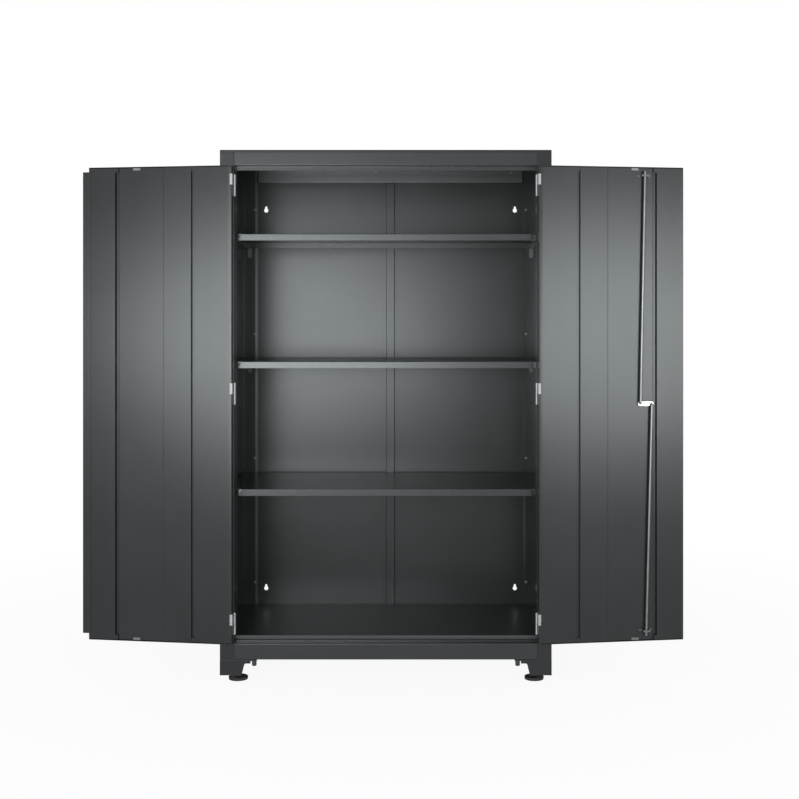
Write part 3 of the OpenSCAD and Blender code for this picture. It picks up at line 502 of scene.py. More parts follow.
def folded_pieces(nodes, radius, material, inner=None):
    """Pieces of folded sheet, one for each node."""
    for node in nodes:
        form = solid_copy(node)
        fold_sheet(form, radius, inner)
        add_piece(f"folded_{node}", form, node, material)


def rounded_pieces(nodes, radius, material):
    """Pieces whose own sharp edges are all taken off by one radius."""
    for node in nodes:
        form = solid_copy(node)
        round_off(form, sharp_edges(form, False), radius * 0.5, 2)
        round_off(form, sharp_edges(form, True), radius, 3)
        add_piece(f"finished_{node}", form, node, material)


# Shapes turned and screwed


NUT_RADIUS, NUT_BORE = 10.4 * MM, 6.1 * MM
STEM_RADIUS = 6 * MM
FOOT_BOLT_RADIUS, FOOT_WASHER_Z = 5 * MM, 19.3 * MM
BODY_SCREW_RADIUS, BODY_SCREW_HEIGHT = 5 * MM, 2.5 * MM
HINGE_SCREW_RADIUS, HINGE_SCREW_HEIGHT = 2.6 * MM, 1.2 * MM
HINGE_PIN_RADIUS = 2.9 * MM


def loose_solids(node):
    """The vertices of each separate solid in a node, in the row frame."""
    form = solid_copy(node)
    left = set(form.verts)
    solids = []
    while left:
        todo = [left.pop()]
        solid = []
        while todo:
            vert = todo.pop()
            solid.append(vert.co.copy())
            for edge in vert.link_edges:
                other = edge.other_vert(vert)
                if other in left:
                    left.remove(other)
                    todo.append(other)
        solids.append(solid)
    form.free()
    return solids


def middle_of(points):
    """The middle of the box round points."""
    low, high = corners_of(points)
    return (low + high) / 2


def stand_on(points, outward):
    """The matrix of a frame whose Z runs outward from the seat of a solid."""
    outward = Vector(outward).normalized()
    centre = sum(points, Vector()) / len(points)
    seat = min(p.dot(outward) for p in points)
    place = centre + outward * (seat - centre.dot(outward))
    return Matrix.Translation(place) @ outward.to_track_quat("Z", "Y").to_matrix().to_4x4()


def join_rings(form, rings, bored=False):
    """Skins a row of point rings with quads, and closes both ends or joins them by a bore."""
    made = [[form.verts.new(point) for point in ring] for ring in rings]
    count = len(made[0])
    pairs = list(zip(made, made[1:]))
    if bored:
        pairs.append((made[-1], made[0]))
    else:
        form.faces.new(list(reversed(made[0])))
        form.faces.new(made[-1])
    for ring, following in pairs:
        for i in range(count):
            j = (i + 1) % count
            form.faces.new((ring[i], ring[j], following[j], following[i]))


def ring_of(reach, z, steps=48):
    """A ring about Z whose reach is a function of the angle."""
    ring = []
    for i in range(steps):
        angle = 2 * math.pi * i / steps
        ring.append(Vector((reach(angle) * math.cos(angle), reach(angle) * math.sin(angle), z)))
    return ring


def circle(radius, z, steps):
    """A round ring about Z."""
    return ring_of(lambda angle: radius, z, steps)


def turned(profile, steps=40):
    """A solid turned about Z from (radius, height) points, lowest first."""
    form = bmesh.new()
    join_rings(form, [circle(radius, z, steps) for radius, z in profile])
    return form


def threaded(radius, depth, pitch, low, high, steps=28):
    """A screwed bar about Z whose thread runs out at both ends."""
    form = bmesh.new()
    rows_a_pitch = 6
    rows = max(4, round((high - low) / pitch * rows_a_pitch))
    rings = []
    for row in range(rows + 1):
        z = low + (high - low) * row / rows
        run_out = min(1.0, 0.25 + min(row, rows - row) / rows_a_pitch)

        def reach(angle):
            wave = abs(((z / pitch - angle / (2 * math.pi)) % 1.0) * 2 - 1)
            return radius - depth * run_out * min(1.0, max(0.0, wave * 1.5 - 0.25))

        rings.append(ring_of(reach, z, steps))
    tip = (radius - depth) * 0.86
    join_rings(form, [circle(tip, low, steps), *rings, circle(tip, high, steps)])
    return form


def hexagon_nut(radius, low, high, bore):
    """A six-sided nut about Z with its corners turned off and a bore, or none."""
    form = bmesh.new()
    steps = 48
    flat = radius * math.cos(math.pi / 6)

    def outline(most, z):
        def reach(angle):
            return min(most, flat / math.cos((angle % (math.pi / 3)) - math.pi / 6))

        return ring_of(reach, z, steps)

    drop = (high - low) * 0.14
    rings = [
        outline(flat * 0.96, low), outline(flat * 1.02, low + drop * 0.35),
        outline(radius, low + drop), outline(radius, high - drop),
        outline(flat * 1.02, high - drop * 0.35), outline(flat * 0.96, high),
    ]
    if bore:
        rings = [circle(bore, low, steps), *rings, circle(bore, high, steps)]
    join_rings(form, rings, bored=bool(bore))
    return form


def put(form, matrix):
    """Moves a form, and returns it."""
    form.transform(matrix)
    return form


def gather(forms):
    """Joins several forms in one, and frees them."""
    whole = bmesh.new()
    for form in forms:
        mesh = bpy.data.meshes.new("part")
        form.to_mesh(mesh)
        form.free()
        whole.from_mesh(mesh)
        bpy.data.meshes.remove(mesh)
    bmesh.ops.recalc_face_normals(whole, faces=whole.faces)
    return whole


def swept(points, radii, steps=24):
    """A round bar along a path, with a radius at each point."""
    form = bmesh.new()
    rings = []
    side = (points[1] - points[0]).orthogonal()
    for i, (point, radius) in enumerate(zip(points, radii)):
        along = (points[min(i + 1, len(points) - 1)] - points[max(i - 1, 0)]).normalized()
        side = (side - along * side.dot(along)).normalized()
        other = along.cross(side)
        rings.append([
            point + radius * (math.cos(turn) * side + math.sin(turn) * other)
            for turn in (2 * math.pi * k / steps for k in range(steps))
        ])
    join_rings(form, rings)
    return form


def screw_with_recess(radius, height):
    """A pan-head screw about Z with a cross recess, its seat at the origin."""
    recess = bpy.context.scene.cabinet_hardware.recess_width
    rows, steps = 14, 48
    form = bmesh.new()
    rings = [circle(radius * 0.97, 0, steps), circle(radius, height * 0.12, steps)]
    for row in range(rows):
        share = 1 - row / (rows - 0.5)
        r = radius * min(1.0, share * 1.02)
        dome = height * (0.42 + 0.58 * math.sqrt(max(0.0, 1 - share ** 2.6)))
        ring = []
        for i in range(steps):
            angle = 2 * math.pi * i / steps
            x, y = r * math.cos(angle), r * math.sin(angle)
            across, along = sorted((abs(x), abs(y)))
            inside = across < recess * radius * 0.5 + 1e-9 and along < radius * 0.62
            slope = (1 - along / (radius * 0.62)) if inside else 0
            ring.append(Vector((x, y, dome - height * min(0.75, 0.35 * inside + slope))))
        rings.append(ring)
    join_rings(form, rings)
    return form


# Finishes


def start_finish(name, colour, roughness, metallic=0.0, specular=0.5, tint=(1, 1, 1)):
    """A material with the uniform values set on the shader's own sockets."""
    material = bpy.data.materials.new(f"finish_{name}")
    material.use_nodes = True
    tree = material.node_tree
    shader = tree.nodes["Principled BSDF"]
    shader.inputs["Base Color"].default_value = (*colour, 1)
    shader.inputs["Roughness"].default_value = roughness
    shader.inputs["Metallic"].default_value = metallic
    shader.inputs["Specular IOR Level"].default_value = specular
    shader.inputs["Specular Tint"].default_value = (*tint, 1)
    place = tree.nodes.new("ShaderNodeTexCoord").outputs["Object"]
    return material, tree, shader, place


def noise(tree, place, size, detail=2.0, stretch=(1, 1, 1)):
    """Noise whose spots are about a size across, drawn out along the stretched axes."""
    mapping = tree.nodes.new("ShaderNodeMapping")
    mapping.inputs["Scale"].default_value = [1 / (size * s) for s in stretch]
    texture = tree.nodes.new("ShaderNodeTexNoise")
    texture.inputs["Scale"].default_value = 1.0
    texture.inputs["Detail"].default_value = detail
    tree.links.new(place, mapping.inputs["Vector"])
    tree.links.new(mapping.outputs["Vector"], texture.inputs["Vector"])
    return texture.outputs["Fac"]


def spread(tree, value, low, high, start=0.3, end=0.7):
    """Maps a texture's value onto a range."""
    node = tree.nodes.new("ShaderNodeMapRange")
    for name, number in (("From Min", start), ("From Max", end), ("To Min", low), ("To Max", high)):
        node.inputs[name].default_value = number
    tree.links.new(value, node.inputs["Value"])
    return node.outputs["Result"]


def combine(tree, operation, first, second, clamp=False):
    """A Math node on two values."""
    node = tree.nodes.new("ShaderNodeMath")
    node.operation = operation
    node.use_clamp = clamp
    tree.links.new(first, node.inputs[0])
    tree.links.new(second, node.inputs[1])
    return node.outputs[0]


def blend_colours(tree, amount, first, second):
    """A colour between two, by a texture's amount."""
    node = tree.nodes.new("ShaderNodeMix")
    node.data_type = "RGBA"
    tree.links.new(amount, node.inputs["Factor"])
    for socket, colour in (("A", first), ("B", second)):
        target = next(s for s in node.inputs if s.name == socket and s.type == "RGBA")
        if hasattr(colour, "is_output"):
            tree.links.new(colour, target)
        else:
            target.default_value = (*colour, 1)
    return next(s for s in node.outputs if s.type == "RGBA")


def shade(colour, amount):
    """A colour made darker or brighter."""
    return tuple(min(1.0, part * amount) for part in colour)


def add_bump(tree, shader, heights, distance):
    """Adds heights together as one bump on the shader."""
    total = heights[0]
    for height in heights[1:]:
        total = combine(tree, "ADD", total, height)
    bump = tree.nodes.new("ShaderNodeBump")
    bump.inputs["Distance"].default_value = distance
    bump.inputs["Strength"].default_value = 1.0
    tree.links.new(total, bump.inputs["Height"])
    tree.links.new(bump.outputs["Normal"], shader.inputs["Normal"])


def worn_edges(tree, place):
    """How worn a spot is: the marked facets, in patches."""
    mark = tree.nodes.new("ShaderNodeAttribute")
    mark.attribute_name = "wear"
    patches = spread(tree, noise(tree, place, 0.03, 4), 0.25, 1.0, 0.35, 0.65)
    return combine(tree, "MULTIPLY", mark.outputs["Fac"], patches)


BODY_SHEEN, FLOOR_SHEEN, HEADER_SHEEN = 0.31, 0.6, 0.75


def powder_coat(name="powder_coat", sheen=BODY_SHEEN, rougher=0.0):
    """The satin powder coat. The sheen is how strongly it mirrors the lamps."""
    finish = bpy.context.scene.cabinet_finish
    colour = tuple(finish.coat_colour)
    rough = finish.coat_roughness + rougher
    # The coat's reflections carry the painted cool tint of the lamps' light
    material, tree, shader, place = start_finish(
        name, colour, rough, specular=sheen, tint=tuple(finish.painted_light_tint)
    )
    film = noise(tree, place, 0.21, 3)
    drift = noise(tree, place, 0.028, 4)
    peel = noise(tree, place, finish.coat_grain * 2.6, 1)
    grain = noise(tree, place, finish.coat_grain * 0.55, 2)
    tone = blend_colours(tree, spread(tree, film, 0, 1), shade(colour, 0.9), shade(colour, 1.12))
    speck = blend_colours(tree, spread(tree, grain, 0, 0.35, 0.55, 0.8), tone, shade(colour, 1.5))
    edge = blend_colours(tree, worn_edges(tree, place), speck, shade(colour, 1.7))
    tree.links.new(edge, shader.inputs["Base Color"])
    gloss = combine(
        tree, "ADD",
        spread(tree, drift, rough - 0.006, rough + 0.006), spread(tree, film, -0.008, 0.008),
    )
    tree.links.new(gloss, shader.inputs["Roughness"])
    add_bump(
        tree, shader,
        [spread(tree, peel, 0, 1, 0, 1), spread(tree, grain, 0, 0.4, 0, 1)], 0.05 * MM,
    )
    return material


def shelf_coat():
    """The same coat on the shelves and rails, baked smoother and glossier."""
    return powder_coat("shelf_coat", bpy.context.scene.cabinet_finish.shelf_sheen)


def floor_coat():
    """The same coat on the floor panel, dulled by what slides on it."""
    return powder_coat("floor_coat", FLOOR_SHEEN, 0.1)


def header_coat():
    """The same coat on the rear header, the glossiest of all."""
    return powder_coat("header_coat", HEADER_SHEEN, 0.06)


def plated(name, colour, rough, grain_size, stretch=(1, 1, 1), streak=0.06):
    """A plated metal with soft stains, fine scratches and a brighter worn edge."""
    material, tree, shader, place = start_finish(name, colour, rough, metallic=1.0)
    stain = noise(tree, place, 0.018, 3)
    streaks = noise(tree, place, grain_size, 3, stretch)
    tone = blend_colours(
        tree, spread(tree, stain, 0, 1), shade(colour, 0.86), shade(colour, 1.05)
    )
    edge = blend_colours(tree, worn_edges(tree, place), tone, shade(colour, 1.15))
    tree.links.new(edge, shader.inputs["Base Color"])
    gloss = combine(
        tree, "ADD",
        spread(tree, streaks, rough - streak, rough + streak), spread(tree, stain, -0.04, 0.05),
    )
    tree.links.new(gloss, shader.inputs["Roughness"])
    add_bump(tree, shader, [streaks], 0.012 * MM)
    return material


def zinc_plate():
    """Dull zinc plate on strikes, nuts and screws."""
    colour = tuple(bpy.context.scene.cabinet_finish.zinc_colour)
    return plated("zinc_plate", colour, 0.42, 0.9 * MM)


def hinge_zinc():
    """Matt zinc plate on the hinges."""
    colour = tuple(bpy.context.scene.cabinet_finish.hinge_colour)
    return plated("hinge_zinc", colour, 0.58, 0.8 * MM)


def clip_zinc():
    """Zinc on the shelf clips and rod guides, in a darker colour than the strikes' zinc."""
    colour = tuple(bpy.context.scene.cabinet_finish.clip_colour)
    return plated("clip_zinc", colour, 0.5, 0.8 * MM)


def drawn_zinc():
    """Zinc plate on drawn bar, with its drawing lines along Z."""
    colour = tuple(bpy.context.scene.cabinet_finish.rod_colour)
    return plated("drawn_zinc", colour, 0.34, 0.5 * MM, (1, 1, 60))


def bright_zinc():
    """Bright zinc plate on the cam, its nut and the spindle."""
    colour = tuple(bpy.context.scene.cabinet_finish.bright_colour)
    return plated("bright_zinc", colour, 0.26, 0.7 * MM)


def chrome_plate():
    """Chrome plate on the handle, housing and key cylinder."""
    colour = tuple(bpy.context.scene.cabinet_finish.chrome_colour)
    return plated("chrome_plate", colour, 0.11, 3 * MM, streak=0.03)


def black_steel():
    """Blackened steel with an uneven oxide."""
    colour = tuple(bpy.context.scene.cabinet_finish.black_colour)
    material, tree, shader, place = start_finish(
        "black_steel", colour, 0.42, metallic=0.6, specular=0.3
    )
    oxide = noise(tree, place, 2.5 * MM, 4)
    tone = blend_colours(
        tree, spread(tree, oxide, 0, 1), shade(colour, 0.75), shade(colour, 1.3)
    )
    edge = blend_colours(tree, worn_edges(tree, place), tone, shade(colour, 4))
    tree.links.new(edge, shader.inputs["Base Color"])
    tree.links.new(spread(tree, oxide, 0.36, 0.5), shader.inputs["Roughness"])
    add_bump(tree, shader, [oxide], 0.02 * MM)
    return material


def black_rubber():
    """Black rubber with a faint bloom."""
    colour = tuple(bpy.context.scene.cabinet_finish.rubber_colour)
    material, tree, shader, place = start_finish(
        "black_rubber", colour, 0.62, specular=0.35
    )
    bloom = noise(tree, place, 12 * MM, 4)
    grain = noise(tree, place, 0.5 * MM, 2)
    tone = blend_colours(
        tree, spread(tree, bloom, 0, 1), shade(colour, 0.8), shade(colour, 1.5)
    )
    tree.links.new(tone, shader.inputs["Base Color"])
    tree.links.new(spread(tree, bloom, 0.56, 0.7), shader.inputs["Roughness"])
    add_bump(tree, shader, [grain], 0.05 * MM)
    return material


FINISHES = {
    "powder_coat": powder_coat,
    "shelf_coat": shelf_coat,
    "floor_coat": floor_coat,
    "header_coat": header_coat,
    "zinc_plate": zinc_plate,
    "hinge_zinc": hinge_zinc,
    "clip_zinc": clip_zinc,
    "drawn_zinc": drawn_zinc,
    "bright_zinc": bright_zinc,
    "chrome_plate": chrome_plate,
    "black_steel": black_steel,
    "black_rubber": black_rubber,
}


def finish(name):
    """The named finish, made the first time it is asked for."""
    return bpy.data.materials.get(f"finish_{name}") or FINISHES[name]()


def door_axes(side):
    """Where a door's hinge axis stands, and the ways along the open door and out of its back."""
    joint = JOINTS["door_left_swing" if side == LEFT else "door_right_swing"]
    past = math.radians(joint["range_deg"][1] - 180)
    along = Vector((side * math.cos(past), math.sin(past), 0))
    inward = Vector((side * math.sin(past), -math.cos(past), 0))
    return Vector(joint["pos_m"]), along, inward


def both(name):
    """The left and right node of a name."""
    return [f"{name}_left", f"{name}_right"]


# Body


FLOOR_INNER_RADIUS, FOOT_INNER_RADIUS = 0.09 * MM, 0.25 * MM


class CABINET_OT_side_panels(Operator):
    """Folds the two side panels, each one sheet from the front post to the back"""

    bl_idname = "cabinet.side_panels"
    bl_label = "Side panels"

    def execute(self, context):
        radius = context.scene.cabinet_folds.fold_radius
        folded_pieces(both("side_panel"), radius, finish("powder_coat"))
        return {"FINISHED"}


class CABINET_OT_posts(Operator):
    """Punches the shelf slots in the front and rear posts"""

    bl_idname = "cabinet.posts"
    bl_label = "Slotted posts"

    def execute(self, context):
        radius = context.scene.cabinet_folds.fold_radius
        nodes = both("post_channel") + both("rear_post")
        folded_pieces(nodes, radius, finish("powder_coat"))
        return {"FINISHED"}


class CABINET_OT_top(Operator):
    """Folds the top with its rim"""

    bl_idname = "cabinet.top"
    bl_label = "Top"

    def execute(self, context):
        radius = context.scene.cabinet_folds.fold_radius
        folded_pieces(["top_panel"], radius, finish("powder_coat"))
        return {"FINISHED"}


class CABINET_OT_rails(Operator):
    """Folds the top rail, the rear header and the base rails"""

    bl_idname = "cabinet.rails"
    bl_label = "Rails and header"

    def execute(self, context):
        radius = context.scene.cabinet_folds.fold_radius
        nodes = ["top_rail", "base_rail_front", "base_rail_rear"]
        folded_pieces(nodes, radius, finish("shelf_coat"))
        folded_pieces(["rear_header"], radius, finish("header_coat"))
        return {"FINISHED"}


class CABINET_OT_back(Operator):
    """Cuts the two back sheets and folds the rib over their joint"""

    bl_idname = "cabinet.back"
    bl_label = "Back and rib"

    def execute(self, context):
        radius = context.scene.cabinet_folds.thin_fold_radius
        nodes = both("back_panel") + ["back_rib"]
        folded_pieces(nodes, radius, finish("powder_coat"))
        return {"FINISHED"}


class CABINET_OT_floor(Operator):
    """Folds the floor panel and the beams under it"""

    bl_idname = "cabinet.floor"
    bl_label = "Floor and beams"

    def execute(self, context):
        radius = context.scene.cabinet_folds.fold_radius
        nodes = ["floor_panel", "floor_beams"]
        folded_pieces(nodes, radius, finish("floor_coat"), FLOOR_INNER_RADIUS)
        return {"FINISHED"}


class CABINET_OT_feet(Operator):
    """Shapes the four bracket feet and their flanged bolts"""

    bl_idname = "cabinet.feet"
    bl_label = "Bracket feet"

    def execute(self, context):
        hardware = context.scene.cabinet_hardware
        radius = context.scene.cabinet_folds.door_fold_radius
        nodes = [f"foot_{place}" for place in
                 ("front_left", "front_right", "rear_left", "rear_right")]
        folded_pieces(nodes, radius, finish("powder_coat"), FOOT_INNER_RADIUS)
        forms = []
        for solid in loose_solids("foot_bolts"):
            place = middle_of(solid)
            low, high = (corner.z for corner in corners_of(solid))
            reach = max((p - place).xy.length for p in solid)
            parts = [
                turned([
                    (reach * 0.93, 19 * MM), (reach * 0.99, 19.5 * MM),
                    (reach, 20.4 * MM), (reach * 0.96, 21 * MM), (reach * 0.8, 22 * MM),
                ], 48),
                hexagon_nut(reach * 0.83, 0, FOOT_WASHER_Z, 0),
                threaded(
                    FOOT_BOLT_RADIUS, hardware.thread_depth, 1.5 * MM, 21.5 * MM, high - low
                ),
            ]
            stand = Matrix.Translation((place.x, place.y, low))
            forms += [put(part, stand) for part in parts]
        add_piece("flanged_foot_bolts", gather(forms), "foot_bolts", finish("black_steel"))
        return {"FINISHED"}


class CABINET_OT_levelers(Operator):
    """Turns the levelers: a rubber pad under a threaded stem, and its nut"""

    bl_idname = "cabinet.levelers"
    bl_label = "Levelers"

    def execute(self, context):
        hardware = context.scene.cabinet_hardware
        nuts = []
        for place in ("front_left", "front_right", "rear_left", "rear_right"):
            node = f"leveler_{place}"
            low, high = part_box(node)
            centre = (low + high) / 2
            stand = Matrix.Translation((centre.x, centre.y, 0))
            reach = (high.x - low.x) / 2
            pad = turned([
                (reach * 0.88, 0), (reach * 0.94, 0), (reach * 0.965, 0.25 * MM),
                (reach * 0.985, 1.2 * MM), (reach * 0.99, 3 * MM), (reach * 0.985, 3.6 * MM),
                (reach * 0.965, 4 * MM), (reach * 0.965, 5.2 * MM), (reach * 0.985, 5.6 * MM),
                (reach, 6.4 * MM), (reach, 8.6 * MM), (reach * 0.99, 9.9 * MM),
                (reach * 0.965, 10.7 * MM), (reach * 0.93, 11 * MM), (reach * 0.86, 11 * MM),
                (reach * 0.84, 10.5 * MM), (reach * 0.6, 10.2 * MM), (reach * 0.42, 10.4 * MM),
                (reach * 0.38, 10.8 * MM), (reach * 0.36, 11 * MM), (reach * 0.16, 11 * MM),
            ], 72)
            add_piece(f"rubber_pad_{place}", put(pad, stand), node, finish("black_rubber"))
            stem = threaded(
                STEM_RADIUS, hardware.thread_depth, hardware.thread_pitch, 10.5 * MM, high.z
            )
            add_piece(
                f"threaded_stem_{place}", put(stem, stand), node, finish("black_steel"),
                slot="black_steel", replaces=False,
            )
        for solid in loose_solids("leveler_nuts"):
            place = middle_of(solid)
            low, high = (corner.z for corner in corners_of(solid))
            nut = hexagon_nut(NUT_RADIUS, low, high, NUT_BORE)
            nuts.append(put(nut, Matrix.Translation((place.x, place.y, 0))))
        add_piece("welded_leveler_nuts", gather(nuts), "leveler_nuts", finish("zinc_plate"))
        return {"FINISHED"}


class CABINET_OT_body_screws(Operator):
    """Drives the pan-head screws in the rear posts and the header"""

    bl_idname = "cabinet.body_screws"
    bl_label = "Body screws"

    def execute(self, context):
        for node in ("back_screws", "header_screws"):
            forms = [
                put(
                    screw_with_recess(BODY_SCREW_RADIUS, BODY_SCREW_HEIGHT),
                    stand_on(solid, (0, -1, 0)),
                )
                for solid in loose_solids(node)
            ]
            add_piece(f"pan_head_{node}", gather(forms), node, finish("zinc_plate"))
        return {"FINISHED"}


# Shelves


class CABINET_OT_shelves(Operator):
    """Folds the three shelves with their turned-down lips"""

    bl_idname = "cabinet.shelves"
    bl_label = "Shelves"

    def execute(self, context):
        radius = context.scene.cabinet_folds.thin_fold_radius
        nodes = [f"shelf_{place}" for place in ("low", "middle", "high")]
        folded_pieces(nodes, radius, finish("shelf_coat"))
        return {"FINISHED"}


class CABINET_OT_shelf_clips(Operator):
    """Bends the zinc-plated clips that hang in the slots"""

    bl_idname = "cabinet.shelf_clips"
    bl_label = "Shelf clips"

    def execute(self, context):
        nodes = [f"shelf_clips_{place}" for place in ("low", "middle", "high")]
        for node in nodes:
            form = solid_copy(node)
            round_off(form, sharp_edges(form, False), 0.5 * MM, 2)
            round_off(form, sharp_edges(form, True), 0.45 * MM, 2)
            add_piece(f"bent_{node}", form, node, finish("clip_zinc"))
        return {"FINISHED"}


# Doors


DOOR_INNER_SIDE = 25 * MM
LOW_SHEET_DROP = (3 * MM, 7 * MM)
RISER_REACH = 3 * MM


def dish_hinge_edge(form, side):
    """Lets the strip beside a door's hinge edge fall away a little towards the edge."""
    folds = bpy.context.scene.cabinet_folds
    hinge, along, inward = door_axes(side)
    width = folds.door_edge_width
    cut_along(form, hinge + along * width, along)
    for vert in form.verts:
        reach = (vert.co - hinge).dot(along)
        if reach < width - WELD and (vert.co - hinge).dot(inward) > DOOR_INNER_SIDE:
            vert.co -= inward * folds.door_edge_dish * (1 - reach / width)


def slant_step(form, side):
    """Leans the riser of a stiffener's step over."""
    lean = bpy.context.scene.cabinet_folds.step_slope
    hinge, along, inward = door_axes(side)
    level = {vert: (vert.co - hinge).dot(inward) for vert in form.verts}
    top = max(level.values())
    least, most = LOW_SHEET_DROP
    low_sheet = {
        vert: (vert.co - hinge).dot(along)
        for vert in form.verts
        if least < top - level[vert] < most
    }
    foot = min(low_sheet.values())
    for vert, reach in low_sheet.items():
        if reach < foot + RISER_REACH:
            vert.co += along * lean


class CABINET_OT_doors(Operator):
    """Folds the door skins, the stepped stiffeners and the astragal"""

    bl_idname = "cabinet.doors"
    bl_label = "Doors"

    def execute(self, context):
        folds = context.scene.cabinet_folds
        for side, node in zip((LEFT, RIGHT), both("door_skin")):
            form = solid_copy(node)
            dish_hinge_edge(form, side)
            fold_sheet(form, folds.door_fold_radius)
            add_piece(f"folded_{node}", form, node, finish("powder_coat"))
        for side, node in zip((LEFT, RIGHT), both("door_stiffener")):
            form = solid_copy(node)
            slant_step(form, side)
            fold_sheet(form, folds.thin_fold_radius)
            add_piece(f"folded_{node}", form, node, finish("powder_coat"))
        folded_pieces(["door_astragal"], folds.thin_fold_radius, finish("powder_coat"))
        rounded_pieces(both("strike_plates"), 0.4 * MM, finish("zinc_plate"))
        return {"FINISHED"}


class CABINET_OT_hinges(Operator):
    """Rolls the lift-off hinges round their pins and screws them to the doors"""

    bl_idname = "cabinet.hinges"
    bl_label = "Hinges"

    def execute(self, context):
        nodes = both("hinge_posts") + both("hinge_leaves")
        rounded_pieces(nodes, 0.35 * MM, finish("hinge_zinc"))
        for side, name in ((LEFT, "left"), (RIGHT, "right")):
            pins = []
            for solid in loose_solids(f"hinge_pins_{name}"):
                place = middle_of(solid)
                low, high = (corner.z for corner in corners_of(solid))
                pin = turned([
                    (HINGE_PIN_RADIUS - 0.6 * MM, low), (HINGE_PIN_RADIUS, low + 0.6 * MM),
                    (HINGE_PIN_RADIUS, high - 1.4 * MM),
                    (HINGE_PIN_RADIUS - 0.4 * MM, high - 0.5 * MM),
                    (HINGE_PIN_RADIUS - 1.3 * MM, high),
                ])
                pins.append(put(pin, Matrix.Translation((place.x, place.y, 0))))
            node = f"hinge_pins_{name}"
            add_piece(f"turned_{node}", gather(pins), node, finish("drawn_zinc"))
            inward = door_axes(side)[2]
            node = f"hinge_screws_{name}"
            forms = [
                put(
                    screw_with_recess(HINGE_SCREW_RADIUS, HINGE_SCREW_HEIGHT),
                    stand_on(solid, inward),
                )
                for solid in loose_solids(node)
            ]
            add_piece(f"pan_head_{node}", gather(forms), node, finish("hinge_zinc"))
        return {"FINISHED"}


# Lock


HUB_RADIUS, HANDLE_LENGTH, GRIP_WIDTH, GRIP_THICKNESS = 17 * MM, 112 * MM, 20 * MM, 9 * MM
KEY_RADIUS, KEYWAY_WIDTH, KEYWAY_HEIGHT = 9 * MM, 2 * MM, 8 * MM
SPINDLE_RADIUS, SPINDLE_THREAD_RADIUS = 8 * MM, 6 * MM
ROD_RADIUS, PEG_RADIUS, ROD_BEND = 4.75 * MM, 3 * MM, 6 * MM


def handle_form(hub_radius, hub_height, length, width, thick, swell):
    """A hub with a seat for the key cylinder, and a crowned grip along X."""
    seat = 9.1 * MM
    hub = turned([
        (8.3 * MM, 10.6 * MM), (8.3 * MM, 0.5 * MM), (8.8 * MM, 0),
        (hub_radius - 1.2 * MM, 0), (hub_radius - 0.3 * MM, 0.4 * MM),
        (hub_radius, 1.3 * MM), (hub_radius, hub_height - 3.2 * MM),
        (hub_radius - 0.5 * MM, hub_height - 1.6 * MM),
        (hub_radius - 1.7 * MM, hub_height - 0.5 * MM), (hub_radius - 3.4 * MM, hub_height),
        (seat + 0.8 * MM, hub_height), (seat, hub_height - 0.6 * MM),
        (seat, hub_height - 8.8 * MM),
    ], 64)
    grip = bmesh.new()
    rings = []
    rows, steps = 40, 32
    middle = hub_height - thick / 2
    tip = width / 2
    for row in range(rows + 1):
        x = 5 * MM + (length - 5.05 * MM) * math.sin(math.pi / 2 * row / rows)
        waist = math.cos(math.pi * min(1.0, x / (length - tip)) * 2) * 0.5 - 0.5
        across = tip + waist * 1.3 * MM
        deep = thick / 2 + waist * 0.5 * MM
        if x > length - tip:
            round_end = math.sqrt(max(0.0, 1 - ((x - length + tip) / tip) ** 2))
            across *= max(0.04, round_end)
            deep *= max(0.3, round_end ** 0.35)
        ring = []
        for i in range(steps):
            angle = 2 * math.pi * i / steps
            c, k = math.cos(angle), math.sin(angle)
            y = across * math.copysign(abs(c) ** 0.62, c)
            z = deep * math.copysign(abs(k) ** 0.62, k)
            crown = swell * (y / max(across, 1e-6)) ** 2 if k > 0 else 0
            ring.append(Vector((x, y, middle + z - crown)))
        rings.append(ring)
    join_rings(grip, rings)
    return gather([hub, grip])


def key_form(radius, length):
    """A key cylinder with a turned rim and a keyway."""
    form = bmesh.new()
    half_w, half_h = KEYWAY_WIDTH / 2, KEYWAY_HEIGHT / 2

    def keyway(angle):
        c, k = abs(math.cos(angle)), abs(math.sin(angle))
        return min(half_w / max(c, 1e-6), half_h / max(k, 1e-6))

    profile = [
        (radius * 0.95, 0), (radius, 0.4 * MM), (radius, length - 0.9 * MM),
        (radius * 0.95, length), (radius * 0.74, length), (radius * 0.70, length - 0.5 * MM),
    ]
    rings = [circle(reach, z, 48) for reach, z in profile]
    rings += [ring_of(keyway, length - 0.5 * MM), ring_of(keyway, length - 6 * MM)]
    join_rings(form, rings)
    return form


